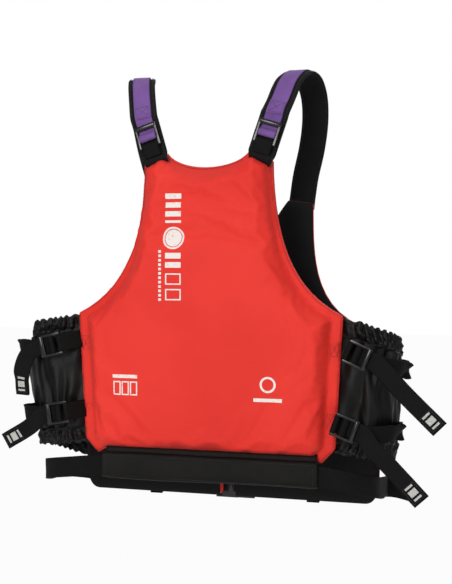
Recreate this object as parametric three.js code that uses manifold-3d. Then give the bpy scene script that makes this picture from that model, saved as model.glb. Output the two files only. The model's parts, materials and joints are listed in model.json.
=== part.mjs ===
// Life jacket (buoyancy aid): a foam back panel and two foam front panels, hung from padded shoulder
// straps and joined at the sides by gathered gussets, with a front zip, four side straps, two
// shoulder adjusters and a waist belt with a side-release buckle.
// Millimetres. +Z is up towards the collar, +Y is the wearer's front, +X is the wearer's right.
// The origin is where the wearer's shoulders carry the jacket: on the centre plane, midway between
// front and back, level with the underside of the shoulder pads at their highest point.

import * as THREE from 'three';
import { mergeVertices } from 'three/addons/utils/BufferGeometryUtils.js';
import Module from 'manifold-3d';

const wasm = await Module();
wasm.setup();

// ---- Driving dimensions ---------------------------------------------------------------------

const SEAM_GAP = 0.3;            // clearance between pieces that are sewn or rest on each other
const WEB_THICK = 1.5;           // nylon webbing
const WEB_WIDTH = 25;            // side and shoulder webbing
const BELT_WIDTH = 30;           // waist belt webbing

const TORSO_HALF_DEPTH = 54;     // from the mid plane to the inner face of front and back
const FOAM_THICK = 33;
const COVER_THICK = 1.5;         // outer cover fabric with its seam allowance
const LINING_THICK = 1.5;
const FLANGE_THICK = 4;          // flat sewn margin beside the foam
const FLANGE_WIDTH = 17;
const HEM_WIDTH = 5;             // narrow sewn margin round the neck, arm holes and hem

// Back panel outline: half widths and heights.
const BACK = {
  neckHalf: 59, neckZ: -120, neckDrop: 22,
  tabHalf: 93, tabZ: -136,
  chestHalf: 196, chestZ: -348,
  hipHalf: 186, hipZ: -535,
  earHalf: 166, earZ: -557,
  hemHalf: 157, hemZ: -550,
};

// Front panel outline, one half.
const FRONT = {
  zipHalf: 12, neckZ: -277,
  tabInner: 95, tabOuter: 134, tabZ: -178, tabFall: 5,
  chestHalf: 246, chestZ: -381,
  hipHalf: 236, hipZ: -600,
  hemHalf: 214, hemZ: -642,
};

// Gathered side gussets.
const GUSSET = { thick: 4, bandThick: 7, bandHeight: 24, backBottom: -541, frontBottom: -590 };

// Shoulder pads and webbing.
const PAD_WIDTH = 40;
const PAD_THICK = 5;
const PAD_TOP_X = 121;           // distance of the strap's top from the centre plane
const SHOULDER_LOCK_AT = 20;     // along the pad from the back panel to the adjuster's anchor bar

// Ladder-lock adjuster, measured from its anchor bar's axis.
const LOCK = {
  inside: WEB_WIDTH + 1, rail: 3, barRadius: 2,
  midBar: 12, midBarLength: 4.6, gripStart: 24, gripEnd: 31,
  bottom: -0.8, railTop: 3, gripTop: 4.6,
};
const TAIL_LAYER = LOCK.bottom - SEAM_GAP - 0.1 - WEB_THICK / 2;
const LOAD_LAYER = TAIL_LAYER - WEB_THICK - 2 * SEAM_GAP;
const LOCK_OUT = LOCK.gripEnd + 5;     // where the strap leaves the space under the lock
const LOCK_STANDOFF = 31;              // anchor bar axis, out from the panel's inner face

// Side straps and gussets. A gusset's reach is beyond the front panel's widest and hip widths. A
// lock's bar is [out from the back panel's edge, height], and a tail's points are from that bar.
const SIDES = {
  right: {
    sign: 1, reachTop: 22, reachBottom: 24, belly: 0, topOuter: -384, bottomOuter: -552,
    straps: {
      upper: { bar: [5.5, -394], tilt: 23, standoff: 11, foldZ: -427, frontZ: -434,
        tail: [[77, -1, -57], [123, -3, -102]], turn: [0.72, 0, 0.69] },
      lower: { bar: [-6, -495], tilt: 19, standoff: 6, foldZ: -515, frontZ: -532,
        tail: [[49, 1, -29], [74, -2, -54], [117, -5, -99]], turn: [0.72, 0, 0.69] },
    },
  },
  left: {
    sign: -1, reachTop: 38, reachBottom: 46, belly: 14, topOuter: -370, bottomOuter: -556,
    straps: {
      upper: { bar: [28.5, -392], tilt: 13, standoff: 7, foldZ: -408, frontZ: -434,
        tail: [[50, -1, -18], [58, -5, -42], [58, -3, -78]], turn: [0.96, 0.28, 0] },
      lower: { bar: [24, -493], tilt: 9, standoff: 5, foldZ: -508, frontZ: -532,
        tail: [[56, 0, -23], [96, -3, -48]], turn: [0.5, 0, 0.87] },
    },
  },
};

// Waist belt, its sleeve and keepers.
const SLEEVE = { height: BELT_WIDTH + 8, depth: 13, wall: 1.4, half: BACK.hemHalf + 1 };
const BELT_FRONT_Z = FRONT.hemZ + 6;
const BELT_SIDE_Z = -599;
const BELT_SIDE_OUT = { right: 8, left: 34 };    // beyond the front panel's hip width
const KEEPER = { x: 120, width: 20, wall: 1.4 };

// Side-release buckle on the belt's centre.
const BUCKLE = { height: BELT_WIDTH + 8, depth: 10, wall: 2.2, femaleStart: -31, mouth: 8, maleEnd: 38 };
const ARM = { length: 20, thick: 3, offset: 10, depth: 4.4 };

// Zip.
const ZIP = {
  tapeInner: 0.8, teethOuter: 3, teethDepth: 3, tapeThick: 1.2, y: TORSO_HALF_DEPTH + 24,
  pitch: 8, tooth: 5, sliderWidth: 11, sliderHeight: 14, plate: 1.5,
};
const ZIP_PULL = { width: 6, length: 26, thick: 1.6 };

// ---- Materials ------------------------------------------------------------------------------

function finish(color, roughness, metalness = 0) {
  return () => new THREE.MeshStandardMaterial({ color, roughness, metalness });
}
const RED_NYLON = finish(0xea4038, 0.75);
const BLACK_NYLON = finish(0x191919, 0.6);
const LINING = finish(0x141414, 0.85);
const FOAM = finish(0xd9d4c4, 0.9);
const ELASTIC = finish(0x161616, 0.8);
const WEBBING = finish(0x111111, 0.8);
const PURPLE_WEBBING = finish(0x7c5a94, 0.7);
const ACETAL = finish(0x171717, 0.35);
const ZIP_METAL = finish(0x2a2a2c, 0.4, 0.6);

// ---- Helpers --------------------------------------------------------------------------------

function vec(point) {
  return new THREE.Vector3(...point);
}

function toSolid(geometry) {
  const bare = geometry.clone();
  bare.deleteAttribute('normal');
  bare.deleteAttribute('uv');
  const merged = mergeVertices(bare, 1e-4);
  return new wasm.Manifold(new wasm.Mesh({
    numProp: 3,
    vertProperties: new Float32Array(merged.attributes.position.array),
    triVerts: new Uint32Array(merged.index.array),
  }));
}

function toGeometry(solid) {
  const mesh = solid.getMesh();
  const geometry = new THREE.BufferGeometry();
  geometry.setAttribute('position', new THREE.BufferAttribute(mesh.vertProperties, 3));
  geometry.setIndex(new THREE.BufferAttribute(mesh.triVerts, 1));
  geometry.computeVertexNormals();
  return geometry;
}

function join(first, ...others) {
  return toGeometry(others.reduce((solid, next) => solid.add(toSolid(next)), toSolid(first)));
}

function cut(body, ...tools) {
  return toGeometry(tools.reduce((solid, tool) => solid.subtract(toSolid(tool)), toSolid(body)));
}

function addMesh(parent, name, geometry, makeMaterial) {
  const mesh = new THREE.Mesh(geometry, makeMaterial());
  mesh.name = name;
  parent.add(mesh);
  return mesh;
}

// A box given by its lowest and highest corners.
function block(low, high) {
  const size = high.map((value, axis) => value - low[axis]);
  const middle = high.map((value, axis) => (value + low[axis]) / 2);
  return new THREE.BoxGeometry(...size).translate(...middle);
}

// An outline in the XZ plane given thickness along Y, between two depths measured outward from the
// panel's inner face. Facing is -1 for the back panel and +1 for the front panels.
function slab(shape, innerDepth, outerDepth, facing) {
  const ends = [innerDepth, outerDepth].map((depth) => facing * (TORSO_HALF_DEPTH + depth));
  const geometry = new THREE.ExtrudeGeometry(shape, {
    depth: outerDepth - innerDepth, bevelEnabled: false, curveSegments: 14,
  });
  return geometry.rotateX(Math.PI / 2).translate(0, Math.max(...ends), 0);
}

// Flat webbing along a route of [point, across] pairs. The across directions say which way the
// webbing's width lies; start and end trim it, in millimetres along the route.
function ribbon(route, width, thick, { steps = 24, lift = 0, start = 0, end = 0 } = {}) {
  const spine = new THREE.CatmullRomCurve3(route.map(([point]) => vec(point)));
  const across = new THREE.CatmullRomCurve3(route.map(([, direction]) => vec(direction)));
  spine.arcLengthDivisions = 400;
  const length = spine.getLength();
  const first = spine.getUtoTmapping(start / length);
  const last = spine.getUtoTmapping(1 - end / length);
  const geometry = new THREE.BoxGeometry(1, width, thick, steps, 1, 1);
  const position = geometry.attributes.position;
  for (let i = 0; i < position.count; i += 1) {
    const t = THREE.MathUtils.lerp(first, last, position.getX(i) + 0.5);
    const along = spine.getTangent(t);
    const side = across.getPoint(t);
    side.addScaledVector(along, -side.dot(along)).normalize();
    const out = new THREE.Vector3().crossVectors(along, side);
    const point = spine.getPoint(t);
    point.addScaledVector(side, position.getY(i));
    point.addScaledVector(out, position.getZ(i) + lift);
    position.setXYZ(i, point.x, point.y, point.z);
  }
  geometry.computeVertexNormals();
  return geometry;
}

// ---- Panels ---------------------------------------------------------------------------------

// Half width of the back panel's side edge at a height, and the same for the front panels.
function backEdge(z) {
  const share = (BACK.chestZ - z) / (BACK.chestZ - BACK.hipZ);
  return THREE.MathUtils.lerp(BACK.chestHalf, BACK.hipHalf, share);
}

function frontEdge(z) {
  const share = (FRONT.chestZ - z) / (FRONT.chestZ - FRONT.hipZ);
  return THREE.MathUtils.lerp(FRONT.chestHalf, FRONT.hipHalf, share);
}

// The curve of an arm hole, from a panel's shoulder corner out to its side edge.
function armHole(shape, from, to, pull, mirror = 1) {
  const wide = to[0] - from[0];
  const high = from[1] - to[1];
  const first = [from[0] + pull[0] * wide, from[1] - pull[1] * high];
  const second = [to[0] - pull[2] * wide, to[1] + pull[3] * high];
  if (mirror > 0) {
    shape.bezierCurveTo(second[0], second[1], first[0], first[1], from[0], from[1]);
  } else {
    shape.bezierCurveTo(-first[0], first[1], -second[0], second[1], -to[0], to[1]);
  }
}

function backShape(hem, flange) {
  const pull = [0.01, 0.45, 0.76, 0.18];
  const tab = [BACK.tabHalf - hem, BACK.tabZ - hem];
  const chest = [BACK.chestHalf - flange, BACK.chestZ - hem];
  const neck = [BACK.neckHalf + hem * 0.6, BACK.neckZ - hem];
  const hip = [BACK.hipHalf - flange, BACK.hipZ + hem];
  const ear = [BACK.earHalf - flange * 0.6, flange > 0 ? BACK.hemZ + hem : BACK.earZ];
  const shape = new THREE.Shape();
  shape.moveTo(-BACK.hemHalf + flange, BACK.hemZ + hem);
  shape.lineTo(BACK.hemHalf - flange, BACK.hemZ + hem);
  shape.lineTo(...ear);
  shape.lineTo(...hip);
  shape.lineTo(...chest);
  armHole(shape, tab, chest, pull);
  shape.lineTo(...neck);
  const dip = neck[1] - BACK.neckDrop * 4 / 3;
  shape.bezierCurveTo(neck[0] * 0.64, dip, -neck[0] * 0.64, dip, -neck[0], neck[1]);
  shape.lineTo(-tab[0], tab[1]);
  armHole(shape, tab, chest, pull, -1);
  shape.lineTo(-hip[0], hip[1]);
  shape.lineTo(-ear[0], ear[1]);
  return shape;
}

function frontShape(hem, flange) {
  const pull = [0, 0.45, 1.02, 0.1];
  const tab = [FRONT.tabOuter - hem, FRONT.tabZ - FRONT.tabFall - hem];
  const chest = [FRONT.chestHalf - flange, FRONT.chestZ - hem];
  const hip = [FRONT.hipHalf - flange, FRONT.hipZ + hem];
  const neck = [FRONT.tabInner + hem, FRONT.tabZ - hem];
  const foot = [FRONT.hemHalf - flange, FRONT.hemZ + hem];
  const zip = FRONT.zipHalf + hem * 0.4;
  const shape = new THREE.Shape();
  shape.moveTo(zip, foot[1]);
  shape.lineTo(...foot);
  shape.quadraticCurveTo(hip[0], foot[1], ...hip);
  shape.lineTo(...chest);
  armHole(shape, tab, chest, pull);
  shape.lineTo(...neck);
  shape.bezierCurveTo(neck[0] - 19, neck[1] - 22, zip + 33, FRONT.neckZ + 15, zip, FRONT.neckZ);
  return shape;
}

// A foam slab in a cover with a flat margin, closed by a lining on the wearer's side.
function addPanel(parent, names, outline, facing) {
  const coverIn = LINING_THICK + SEAM_GAP;
  const foamIn = coverIn + SEAM_GAP;
  const foamOut = foamIn + FOAM_THICK;
  const outer = foamOut + SEAM_GAP + COVER_THICK;
  const wall = outline(HEM_WIDTH - COVER_THICK, FLANGE_WIDTH - COVER_THICK);
  const pocket = outline(HEM_WIDTH, FLANGE_WIDTH);
  const core = outline(HEM_WIDTH + SEAM_GAP, FLANGE_WIDTH + SEAM_GAP);
  const shell = join(
    slab(outline(0, 0), coverIn, coverIn + FLANGE_THICK, facing),
    slab(wall, coverIn, outer, facing),
  );
  const cover = cut(shell, slab(pocket, coverIn - 1, foamOut + SEAM_GAP, facing));
  addMesh(parent, names.cover, cover, RED_NYLON);
  addMesh(parent, names.foam, slab(core, foamIn, foamOut, facing), FOAM);
  addMesh(parent, names.lining, slab(outline(0, 0), 0, LINING_THICK, facing), LINING);
}

// Depth of a panel's outer face from the mid plane.
const PANEL_FACE = TORSO_HALF_DEPTH + LINING_THICK + FOAM_THICK + COVER_THICK + 3 * SEAM_GAP;
const FLANGE_MID = TORSO_HALF_DEPTH + LINING_THICK + SEAM_GAP + FLANGE_THICK / 2;

// ---- Gussets --------------------------------------------------------------------------------

// How far out a gusset reaches at a height.
function gussetReach(side, z) {
  const share = (BACK.chestZ - z) / (BACK.chestZ - GUSSET.backBottom);
  const bulge = side.belly * Math.sin(Math.PI * THREE.MathUtils.clamp(share, 0, 1));
  const top = FRONT.chestHalf + side.reachTop;
  return THREE.MathUtils.lerp(top, FRONT.hipHalf + side.reachBottom, share) + bulge;
}

// Middle of the gusset's cloth at a share u of the way from back to front, at a height.
function gussetPoint(side, u, z) {
  const back = backEdge(z) + GUSSET.bandThick / 2 + SEAM_GAP;
  const front = frontEdge(z) + GUSSET.bandThick / 2 + SEAM_GAP;
  const reach = gussetReach(side, z);
  const plan = new THREE.CatmullRomCurve3([
    new THREE.Vector3(back, -FLANGE_MID, z),
    new THREE.Vector3(THREE.MathUtils.lerp(back, reach, 0.45), -FLANGE_MID - 7, z),
    new THREE.Vector3(THREE.MathUtils.lerp(back, reach, 0.88), -FLANGE_MID + 14, z),
    new THREE.Vector3(reach, -5, z),
    new THREE.Vector3(THREE.MathUtils.lerp(front, reach, 0.8), FLANGE_MID - 20, z),
    new THREE.Vector3(front, FLANGE_MID, z),
  ]);
  return { point: plan.getPoint(u), along: plan.getTangent(u) };
}

// Top and bottom of the gusset at a share u of the way round.
function gussetTop(side, u) {
  const middle = side.topOuter;
  return u < 0.6 ? THREE.MathUtils.lerp(BACK.chestZ - 2, middle, u / 0.6)
    : THREE.MathUtils.lerp(middle, FRONT.chestZ - 2, (u - 0.6) / 0.4);
}

function gussetBottom(side, u) {
  const middle = side.bottomOuter;
  return u < 0.6 ? THREE.MathUtils.lerp(GUSSET.backBottom, middle, u / 0.6)
    : THREE.MathUtils.lerp(middle, GUSSET.frontBottom, (u - 0.6) / 0.4);
}

// One layer of the gusset between two heights that are functions of u.
function gussetLayer(side, thick, top, bottom) {
  const rows = 3;
  const geometry = new THREE.BoxGeometry(1, thick, 1, 16, 1, rows);
  const position = geometry.attributes.position;
  for (let i = 0; i < position.count; i += 1) {
    const u = 0.5 + position.getX(i);
    const share = position.getZ(i) + 0.5;
    const z = THREE.MathUtils.lerp(bottom(u), top(u), share);
    const { point, along } = gussetPoint(side, u, z);
    const out = new THREE.Vector3(along.y, -along.x, 0).normalize();
    point.addScaledVector(out, -position.getY(i));
    position.setXYZ(i, point.x, point.y, point.z);
  }
  geometry.computeVertexNormals();
  return geometry;
}

function addGusset(parent, name, side) {
  const topBand = (u) => gussetTop(side, u) - GUSSET.bandHeight;
  const bottomBand = (u) => gussetBottom(side, u) + GUSSET.bandHeight;
  addMesh(parent, `gusset_elastic_top_${name}`,
    gussetLayer(side, GUSSET.bandThick, (u) => gussetTop(side, u), topBand), ELASTIC);
  addMesh(parent, `gusset_${name}`, gussetLayer(side, GUSSET.thick,
    (u) => topBand(u) - SEAM_GAP, (u) => bottomBand(u) + SEAM_GAP), BLACK_NYLON);
  addMesh(parent, `gusset_elastic_bottom_${name}`,
    gussetLayer(side, GUSSET.bandThick, bottomBand, (u) => gussetBottom(side, u)), ELASTIC);
}

// ---- Ladder-lock adjusters ------------------------------------------------------------------

// A frame with its origin on the anchor bar, x along the strap and z away from the jacket.
function strapFrame(origin, along, outward) {
  const x = along.clone().normalize();
  const z = outward.clone().addScaledVector(x, -outward.dot(x)).normalize();
  const y = new THREE.Vector3().crossVectors(z, x);
  return new THREE.Matrix4().makeBasis(x, y, z).setPosition(origin);
}

function inFrame(frame, x, y, z) {
  return new THREE.Vector3(x, y, z).applyMatrix4(frame).toArray();
}

function crossBar(x, z, radius, width) {
  return new THREE.CylinderGeometry(radius, radius, width, 10).translate(x, 0, z);
}

function ladderLock() {
  const half = LOCK.inside / 2;
  const profile = new THREE.Shape();
  profile.moveTo(-3, LOCK.bottom);
  profile.lineTo(LOCK.gripEnd, LOCK.bottom);
  profile.lineTo(LOCK.gripEnd, LOCK.railTop);
  profile.lineTo(LOCK.gripStart, LOCK.railTop);
  profile.lineTo(LOCK.midBar, LOCK.railTop - 0.6);
  profile.lineTo(-1.5, 2.4);
  profile.quadraticCurveTo(-3, 2.2, -3, 0.6);
  const rail = new THREE.ExtrudeGeometry(profile, {
    depth: LOCK.rail, bevelEnabled: false, curveSegments: 4,
  }).rotateX(Math.PI / 2);
  const grip = new THREE.Shape();
  grip.moveTo(LOCK.gripStart, LOCK.bottom);
  grip.lineTo(LOCK.gripEnd, LOCK.bottom);
  grip.quadraticCurveTo(LOCK.gripEnd + 0.6, LOCK.gripTop, LOCK.gripEnd - 2.5, LOCK.gripTop);
  grip.quadraticCurveTo(LOCK.gripStart, LOCK.gripTop, LOCK.gripStart, LOCK.railTop - 1.4);
  const gripBar = new THREE.ExtrudeGeometry(grip, {
    depth: LOCK.inside + LOCK.rail, bevelEnabled: false, curveSegments: 4,
  }).rotateX(Math.PI / 2).translate(0, half + LOCK.rail / 2, 0);
  const midHalf = LOCK.midBarLength / 2;
  const midBar = block([LOCK.midBar - midHalf, -half - 1, LOCK.bottom],
    [LOCK.midBar + midHalf, half + 1, LOCK.railTop - 1]);
  return join(
    rail.clone().translate(0, half + LOCK.rail, 0),
    rail.clone().translate(0, -half, 0),
    crossBar(0, 0, LOCK.barRadius, LOCK.inside + 2),
    midBar,
    gripBar,
  );
}

// The webbing's path under the lock, up through it and over its middle bar, seen from the side.
function turnRoute() {
  const left = LOCK.midBar - LOCK.midBarLength / 2 - SEAM_GAP - WEB_THICK / 2 - 0.5;
  const right = LOCK.midBar + LOCK.midBarLength / 2 + SEAM_GAP + WEB_THICK / 2 + 0.2;
  const over = LOCK.railTop - 1 + SEAM_GAP + WEB_THICK / 2 + 0.5;
  const profile = [
    [LOCK_OUT, LOAD_LAYER], [LOCK.midBar + 8, LOAD_LAYER], [LOCK.midBar, LOAD_LAYER],
    [left + 0.8, LOAD_LAYER + 0.9], [left, 0], [left + 0.5, over - 1.2], [LOCK.midBar - 1.4, over],
    [LOCK.midBar + 1.4, over], [right - 0.3, over - 1], [right + 1, LOCK.bottom + 1.9],
    [right + 2.6, LOCK.bottom + 0.9],
  ];
  return profile.map(([x, z]) => [[x, 0, z], [0, -1, 0]]);
}

// The fixed loop that ties the anchor bar to a seam, both its ends sewn into that seam.
function loopRoute(frame, seam) {
  const toLocal = frame.clone().invert();
  const root = vec(seam).applyMatrix4(toLocal);
  const away = Math.atan2(-root.z, -root.x);
  const radius = LOCK.barRadius + SEAM_GAP + WEB_THICK / 2;
  const spread = WEB_THICK / 2 + SEAM_GAP / 2;
  const side = new THREE.Vector3(-Math.sin(away), 0, Math.cos(away));
  const foot = (turn) => [root.x + side.x * spread * turn, 0, root.z + side.z * spread * turn];
  const route = [foot(-1)];
  for (let step = -4; step <= 4; step += 1) {
    const angle = away + step * Math.PI / 9;
    route.push([radius * Math.cos(angle), 0, radius * Math.sin(angle)]);
  }
  route.push(foot(1));
  return route.map((point) => [point, [0, -1, 0]]);
}

// A lock with its fixed loop and the webbing over its middle bar.
function addAdjuster(parent, name, frame, seam, makeWebbing) {
  addMesh(parent, `${name}_anchor`, ribbon(loopRoute(frame, seam), WEB_WIDTH, WEB_THICK,
    { steps: 22 }), WEBBING).applyMatrix4(frame);
  addMesh(parent, `${name}_lock`, ladderLock(), ACETAL).applyMatrix4(frame);
  addMesh(parent, `${name}_turn`, ribbon(turnRoute(), WEB_WIDTH, WEB_THICK, { steps: 28 }),
    makeWebbing).applyMatrix4(frame);
}

// ---- Side straps ----------------------------------------------------------------------------

function addSideStrap(parent, sideName, side, level, strap) {
  const tilt = THREE.MathUtils.degToRad(strap.tilt);
  const along = new THREE.Vector3(Math.cos(tilt), 0, -Math.sin(tilt));
  const [barOut, barZ] = strap.bar;
  const origin = vec([backEdge(barZ) + barOut, -TORSO_HALF_DEPTH - LOCK_STANDOFF, barZ]);
  const frame = strapFrame(origin, along, new THREE.Vector3(0, -1, 0));
  const name = `side_${level}_${sideName}`;
  const seam = [backEdge(barZ) + 2.5, -FLANGE_MID - FLANGE_THICK / 2 - 5, barZ];
  addAdjuster(parent, name, frame, seam, WEBBING);

  const fold = gussetReach(side, strap.foldZ) + GUSSET.bandThick / 2 + strap.standoff;
  const front = frontEdge(strap.frontZ);
  const lockAcross = new THREE.Vector3(0, -1, 0).transformDirection(frame).toArray();
  const upright = [0, 0, 1];
  const route = [
    [inFrame(frame, LOCK_OUT + SEAM_GAP, 0, LOAD_LAYER), lockAcross],
    [inFrame(frame, LOCK_OUT + 8, 0, LOAD_LAYER - 1), lockAcross],
    [[fold - 9, -TORSO_HALF_DEPTH - 6, strap.foldZ + 6], lockAcross],
    [[fold, -8, strap.foldZ], upright],
    [[fold - 9, TORSO_HALF_DEPTH - 2, THREE.MathUtils.lerp(strap.foldZ, strap.frontZ, 0.6)],
      upright],
    [[front + 8, PANEL_FACE - 3, strap.frontZ], upright],
    [[front - 12, PANEL_FACE + 2, strap.frontZ], upright],
    [[front - 40, PANEL_FACE + SEAM_GAP + WEB_THICK / 2 + 0.2, strap.frontZ], upright],
  ];
  addMesh(parent, `${name}_strap`, ribbon(route, WEB_WIDTH, WEB_THICK, { steps: 32 }), WEBBING);

  const tailRoute = [
    [inFrame(frame, LOCK.midBar + 5, 0, TAIL_LAYER), lockAcross],
    [inFrame(frame, LOCK_OUT - 8, 0, TAIL_LAYER), lockAcross],
    [inFrame(frame, LOCK_OUT + 4, 0, TAIL_LAYER), lockAcross],
    ...strap.tail.map((step, i) => [vec(step).add(origin).toArray(),
      i + 1 < strap.tail.length ? lockAcross : strap.turn]),
  ];
  addMesh(parent, `${name}_tail`, ribbon(tailRoute, WEB_WIDTH, WEB_THICK, { steps: 16 }), WEBBING);
}

// ---- Shoulder straps ------------------------------------------------------------------------

// The pad's middle line, from the back panel up over the shoulder and down to the front panel.
const PAD_START = new THREE.Vector3((BACK.neckHalf + BACK.tabHalf) / 2 + 0.5,
  -TORSO_HALF_DEPTH - 22, BACK.tabZ + 9.5);
const PAD_LEAN = new THREE.Vector3(0.3, 0.1, 0.95).normalize();

function padRoute() {
  const straight = (distance) => PAD_START.clone().addScaledVector(PAD_LEAN, distance).toArray();
  const frontX = (FRONT.tabInner + FRONT.tabOuter) / 2;
  const inward = [-1, 0, 0];
  return [
    [straight(0), inward],
    [straight(30), inward],
    [straight(SHOULDER_LOCK_AT + LOCK_OUT + 2), inward],
    [straight(SHOULDER_LOCK_AT + LOCK_OUT + 9), inward],
    [[PAD_TOP_X - 19, -1.055 * TORSO_HALF_DEPTH, -45], inward],
    [[PAD_TOP_X - 12, -0.74 * TORSO_HALF_DEPTH, -19], inward],
    [[PAD_TOP_X - 5, -0.35 * TORSO_HALF_DEPTH, -3], inward],
    [[PAD_TOP_X, 0, PAD_THICK / 2], inward],
    [[PAD_TOP_X + 9, 0.41 * TORSO_HALF_DEPTH, -3], inward],
    [[PAD_TOP_X + 15, 0.78 * TORSO_HALF_DEPTH, -24], inward],
    [[PAD_TOP_X + 15, 1.055 * TORSO_HALF_DEPTH, -58], inward],
    [[PAD_TOP_X + 9, 1.22 * TORSO_HALF_DEPTH, -98], inward],
    [[frontX + 5, 1.33 * TORSO_HALF_DEPTH, -142], inward],
    [[frontX, FLANGE_MID + 14, FRONT.tabZ + 1], inward],
  ];
}

function addShoulder(parent, name) {
  const route = padRoute();
  addMesh(parent, `shoulder_pad_${name}`, ribbon(route, PAD_WIDTH, PAD_THICK, { steps: 36 }),
    BLACK_NYLON);
  const lift = PAD_THICK / 2 + 2 * SEAM_GAP + WEB_THICK / 2;
  addMesh(parent, `shoulder_webbing_${name}`, ribbon(route, WEB_WIDTH, WEB_THICK,
    { steps: 36, lift, start: SHOULDER_LOCK_AT + LOCK_OUT + 0.6, end: 0.3 }), PURPLE_WEBBING);
  const outward = new THREE.Vector3(0, -1, 0);
  outward.addScaledVector(PAD_LEAN, -outward.dot(PAD_LEAN)).normalize();
  const origin = PAD_START.clone().addScaledVector(PAD_LEAN, SHOULDER_LOCK_AT);
  origin.addScaledVector(outward, lift - LOAD_LAYER);
  const frame = strapFrame(origin, PAD_LEAN, outward);
  const seam = inFrame(frame, 4 - SHOULDER_LOCK_AT, 0, LOAD_LAYER + 1.5);
  addAdjuster(parent, `shoulder_${name}`, frame, seam, PURPLE_WEBBING);
}

// ---- Waist belt -----------------------------------------------------------------------------

const BACK_BELT_Y = -(FLANGE_MID + 20);
const SLEEVE_Z = BACK.hemZ - SLEEVE.height / 2 - SEAM_GAP;
const FRONT_BELT_Y = PANEL_FACE + 2.7;
const BUCKLE_Y = PANEL_FACE + 7;
const BELT_BEND = 4.4;            // radius of the belt's turn round a buckle bar

// Half of the fixed belt, from the middle of the back round one side to the front panel.
function beltHalf(name) {
  const x = FRONT.hipHalf + BELT_SIDE_OUT[name];
  return [
    [SLEEVE.half * 0.5, BACK_BELT_Y, SLEEVE_Z],
    [SLEEVE.half + 4, BACK_BELT_Y, SLEEVE_Z - 2],
    [THREE.MathUtils.lerp(SLEEVE.half, x, 0.5), BACK_BELT_Y + 3, SLEEVE_Z - 8],
    [x - 9, 6 - TORSO_HALF_DEPTH, SLEEVE_Z - 19],
    [x, -10, BELT_SIDE_Z],
    [x + 2, TORSO_HALF_DEPTH - 4, BELT_SIDE_Z - 11],
    [FRONT.hipHalf + 8, PANEL_FACE - 4, BELT_FRONT_Z + 15],
    [FRONT.hipHalf - 16, FRONT_BELT_Y, BELT_FRONT_Z + 9],
  ];
}

function addBelt(parent) {
  const upright = [0, 0, -1];
  const right = beltHalf('right');
  const left = beltHalf('left').map(([x, y, z]) => [-x, y, z]);
  const bar = BUCKLE.femaleStart + 6;
  const hook = [
    [-FRONT.hipHalf * 0.6, FRONT_BELT_Y, BELT_FRONT_Z + 4],
    [-KEEPER.x + 40, FRONT_BELT_Y, BELT_FRONT_Z],
    [bar - 12, FRONT_BELT_Y, BELT_FRONT_Z],
    [bar - 1, BUCKLE_Y - BELT_BEND, BELT_FRONT_Z],
    [bar + 0.8 * BELT_BEND, BUCKLE_Y - 0.75 * BELT_BEND, BELT_FRONT_Z],
    [bar + BELT_BEND + 0.3, BUCKLE_Y, BELT_FRONT_Z],
    [bar + 0.8 * BELT_BEND, BUCKLE_Y + 0.75 * BELT_BEND, BELT_FRONT_Z],
    [bar - 1, BUCKLE_Y + BELT_BEND, BELT_FRONT_Z],
    [bar - 12, BUCKLE_Y + 1.5, BELT_FRONT_Z],
    [bar - 22, BUCKLE_Y + 1, BELT_FRONT_Z],
  ];
  const fixed = [...right.toReversed(), [0, BACK_BELT_Y, SLEEVE_Z], ...left, ...hook];
  const route = fixed.map((point) => [point, upright]);
  addMesh(parent, 'waist_belt', ribbon(route, BELT_WIDTH, WEB_THICK, { steps: 84 }), WEBBING);

  const layer = WEB_THICK + SEAM_GAP;
  const post = BUCKLE.maleEnd - 6;
  const front = [
    [FRONT.hipHalf - 10, FRONT_BELT_Y + layer + 0.8, BELT_FRONT_Z + 9],
    [FRONT.hipHalf * 0.6, FRONT_BELT_Y + layer + 0.5, BELT_FRONT_Z + 4],
    [KEEPER.x - 40, FRONT_BELT_Y + layer + 0.3, BELT_FRONT_Z],
    [post + 12, FRONT_BELT_Y + layer, BELT_FRONT_Z],
    [post + 1, BUCKLE_Y - BELT_BEND, BELT_FRONT_Z],
    [post - 0.8 * BELT_BEND, BUCKLE_Y - 0.75 * BELT_BEND, BELT_FRONT_Z],
    [post - BELT_BEND - 0.3, BUCKLE_Y, BELT_FRONT_Z],
    [post - 0.8 * BELT_BEND, BUCKLE_Y + 0.75 * BELT_BEND, BELT_FRONT_Z],
    [post + 1, BUCKLE_Y + BELT_BEND, BELT_FRONT_Z],
    [post + 8, BUCKLE_Y + BELT_BEND - 0.4, BELT_FRONT_Z],
  ];
  addMesh(parent, 'belt_front', ribbon(front.map((point) => [point, [0, 0, 1]]), BELT_WIDTH,
    WEB_THICK, { steps: 44 }), WEBBING);
  const outer = FRONT_BELT_Y + 2 * layer + 1.4;
  const tail = [
    [post + 11, outer + 1.4, BELT_FRONT_Z],
    [KEEPER.x - 40, outer, BELT_FRONT_Z],
    [FRONT.hipHalf * 0.6, outer, BELT_FRONT_Z + 4],
    [FRONT.hipHalf - 10, outer + 0.4, BELT_FRONT_Z + 9],
    [FRONT.hipHalf + 20, outer + 1.5, BELT_FRONT_Z + 10],
    [FRONT.hipHalf + 52, outer, BELT_FRONT_Z + 4],
  ];
  addMesh(parent, 'belt_tail', ribbon(tail.map((point) => [point, upright]), BELT_WIDTH,
    WEB_THICK, { steps: 30 }), WEBBING);
}

// A rectangular sleeve round a stretch of belt that runs along X.
function sleeve(start, end, y0, y1, z0, z1, wall) {
  const shell = block([start, y0, z0], [end, y1, z1]);
  const hollow = block([start - 1, y0 + wall, z0 + wall], [end + 1, y1 - wall, z1 - wall]);
  return cut(shell, hollow);
}

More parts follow.
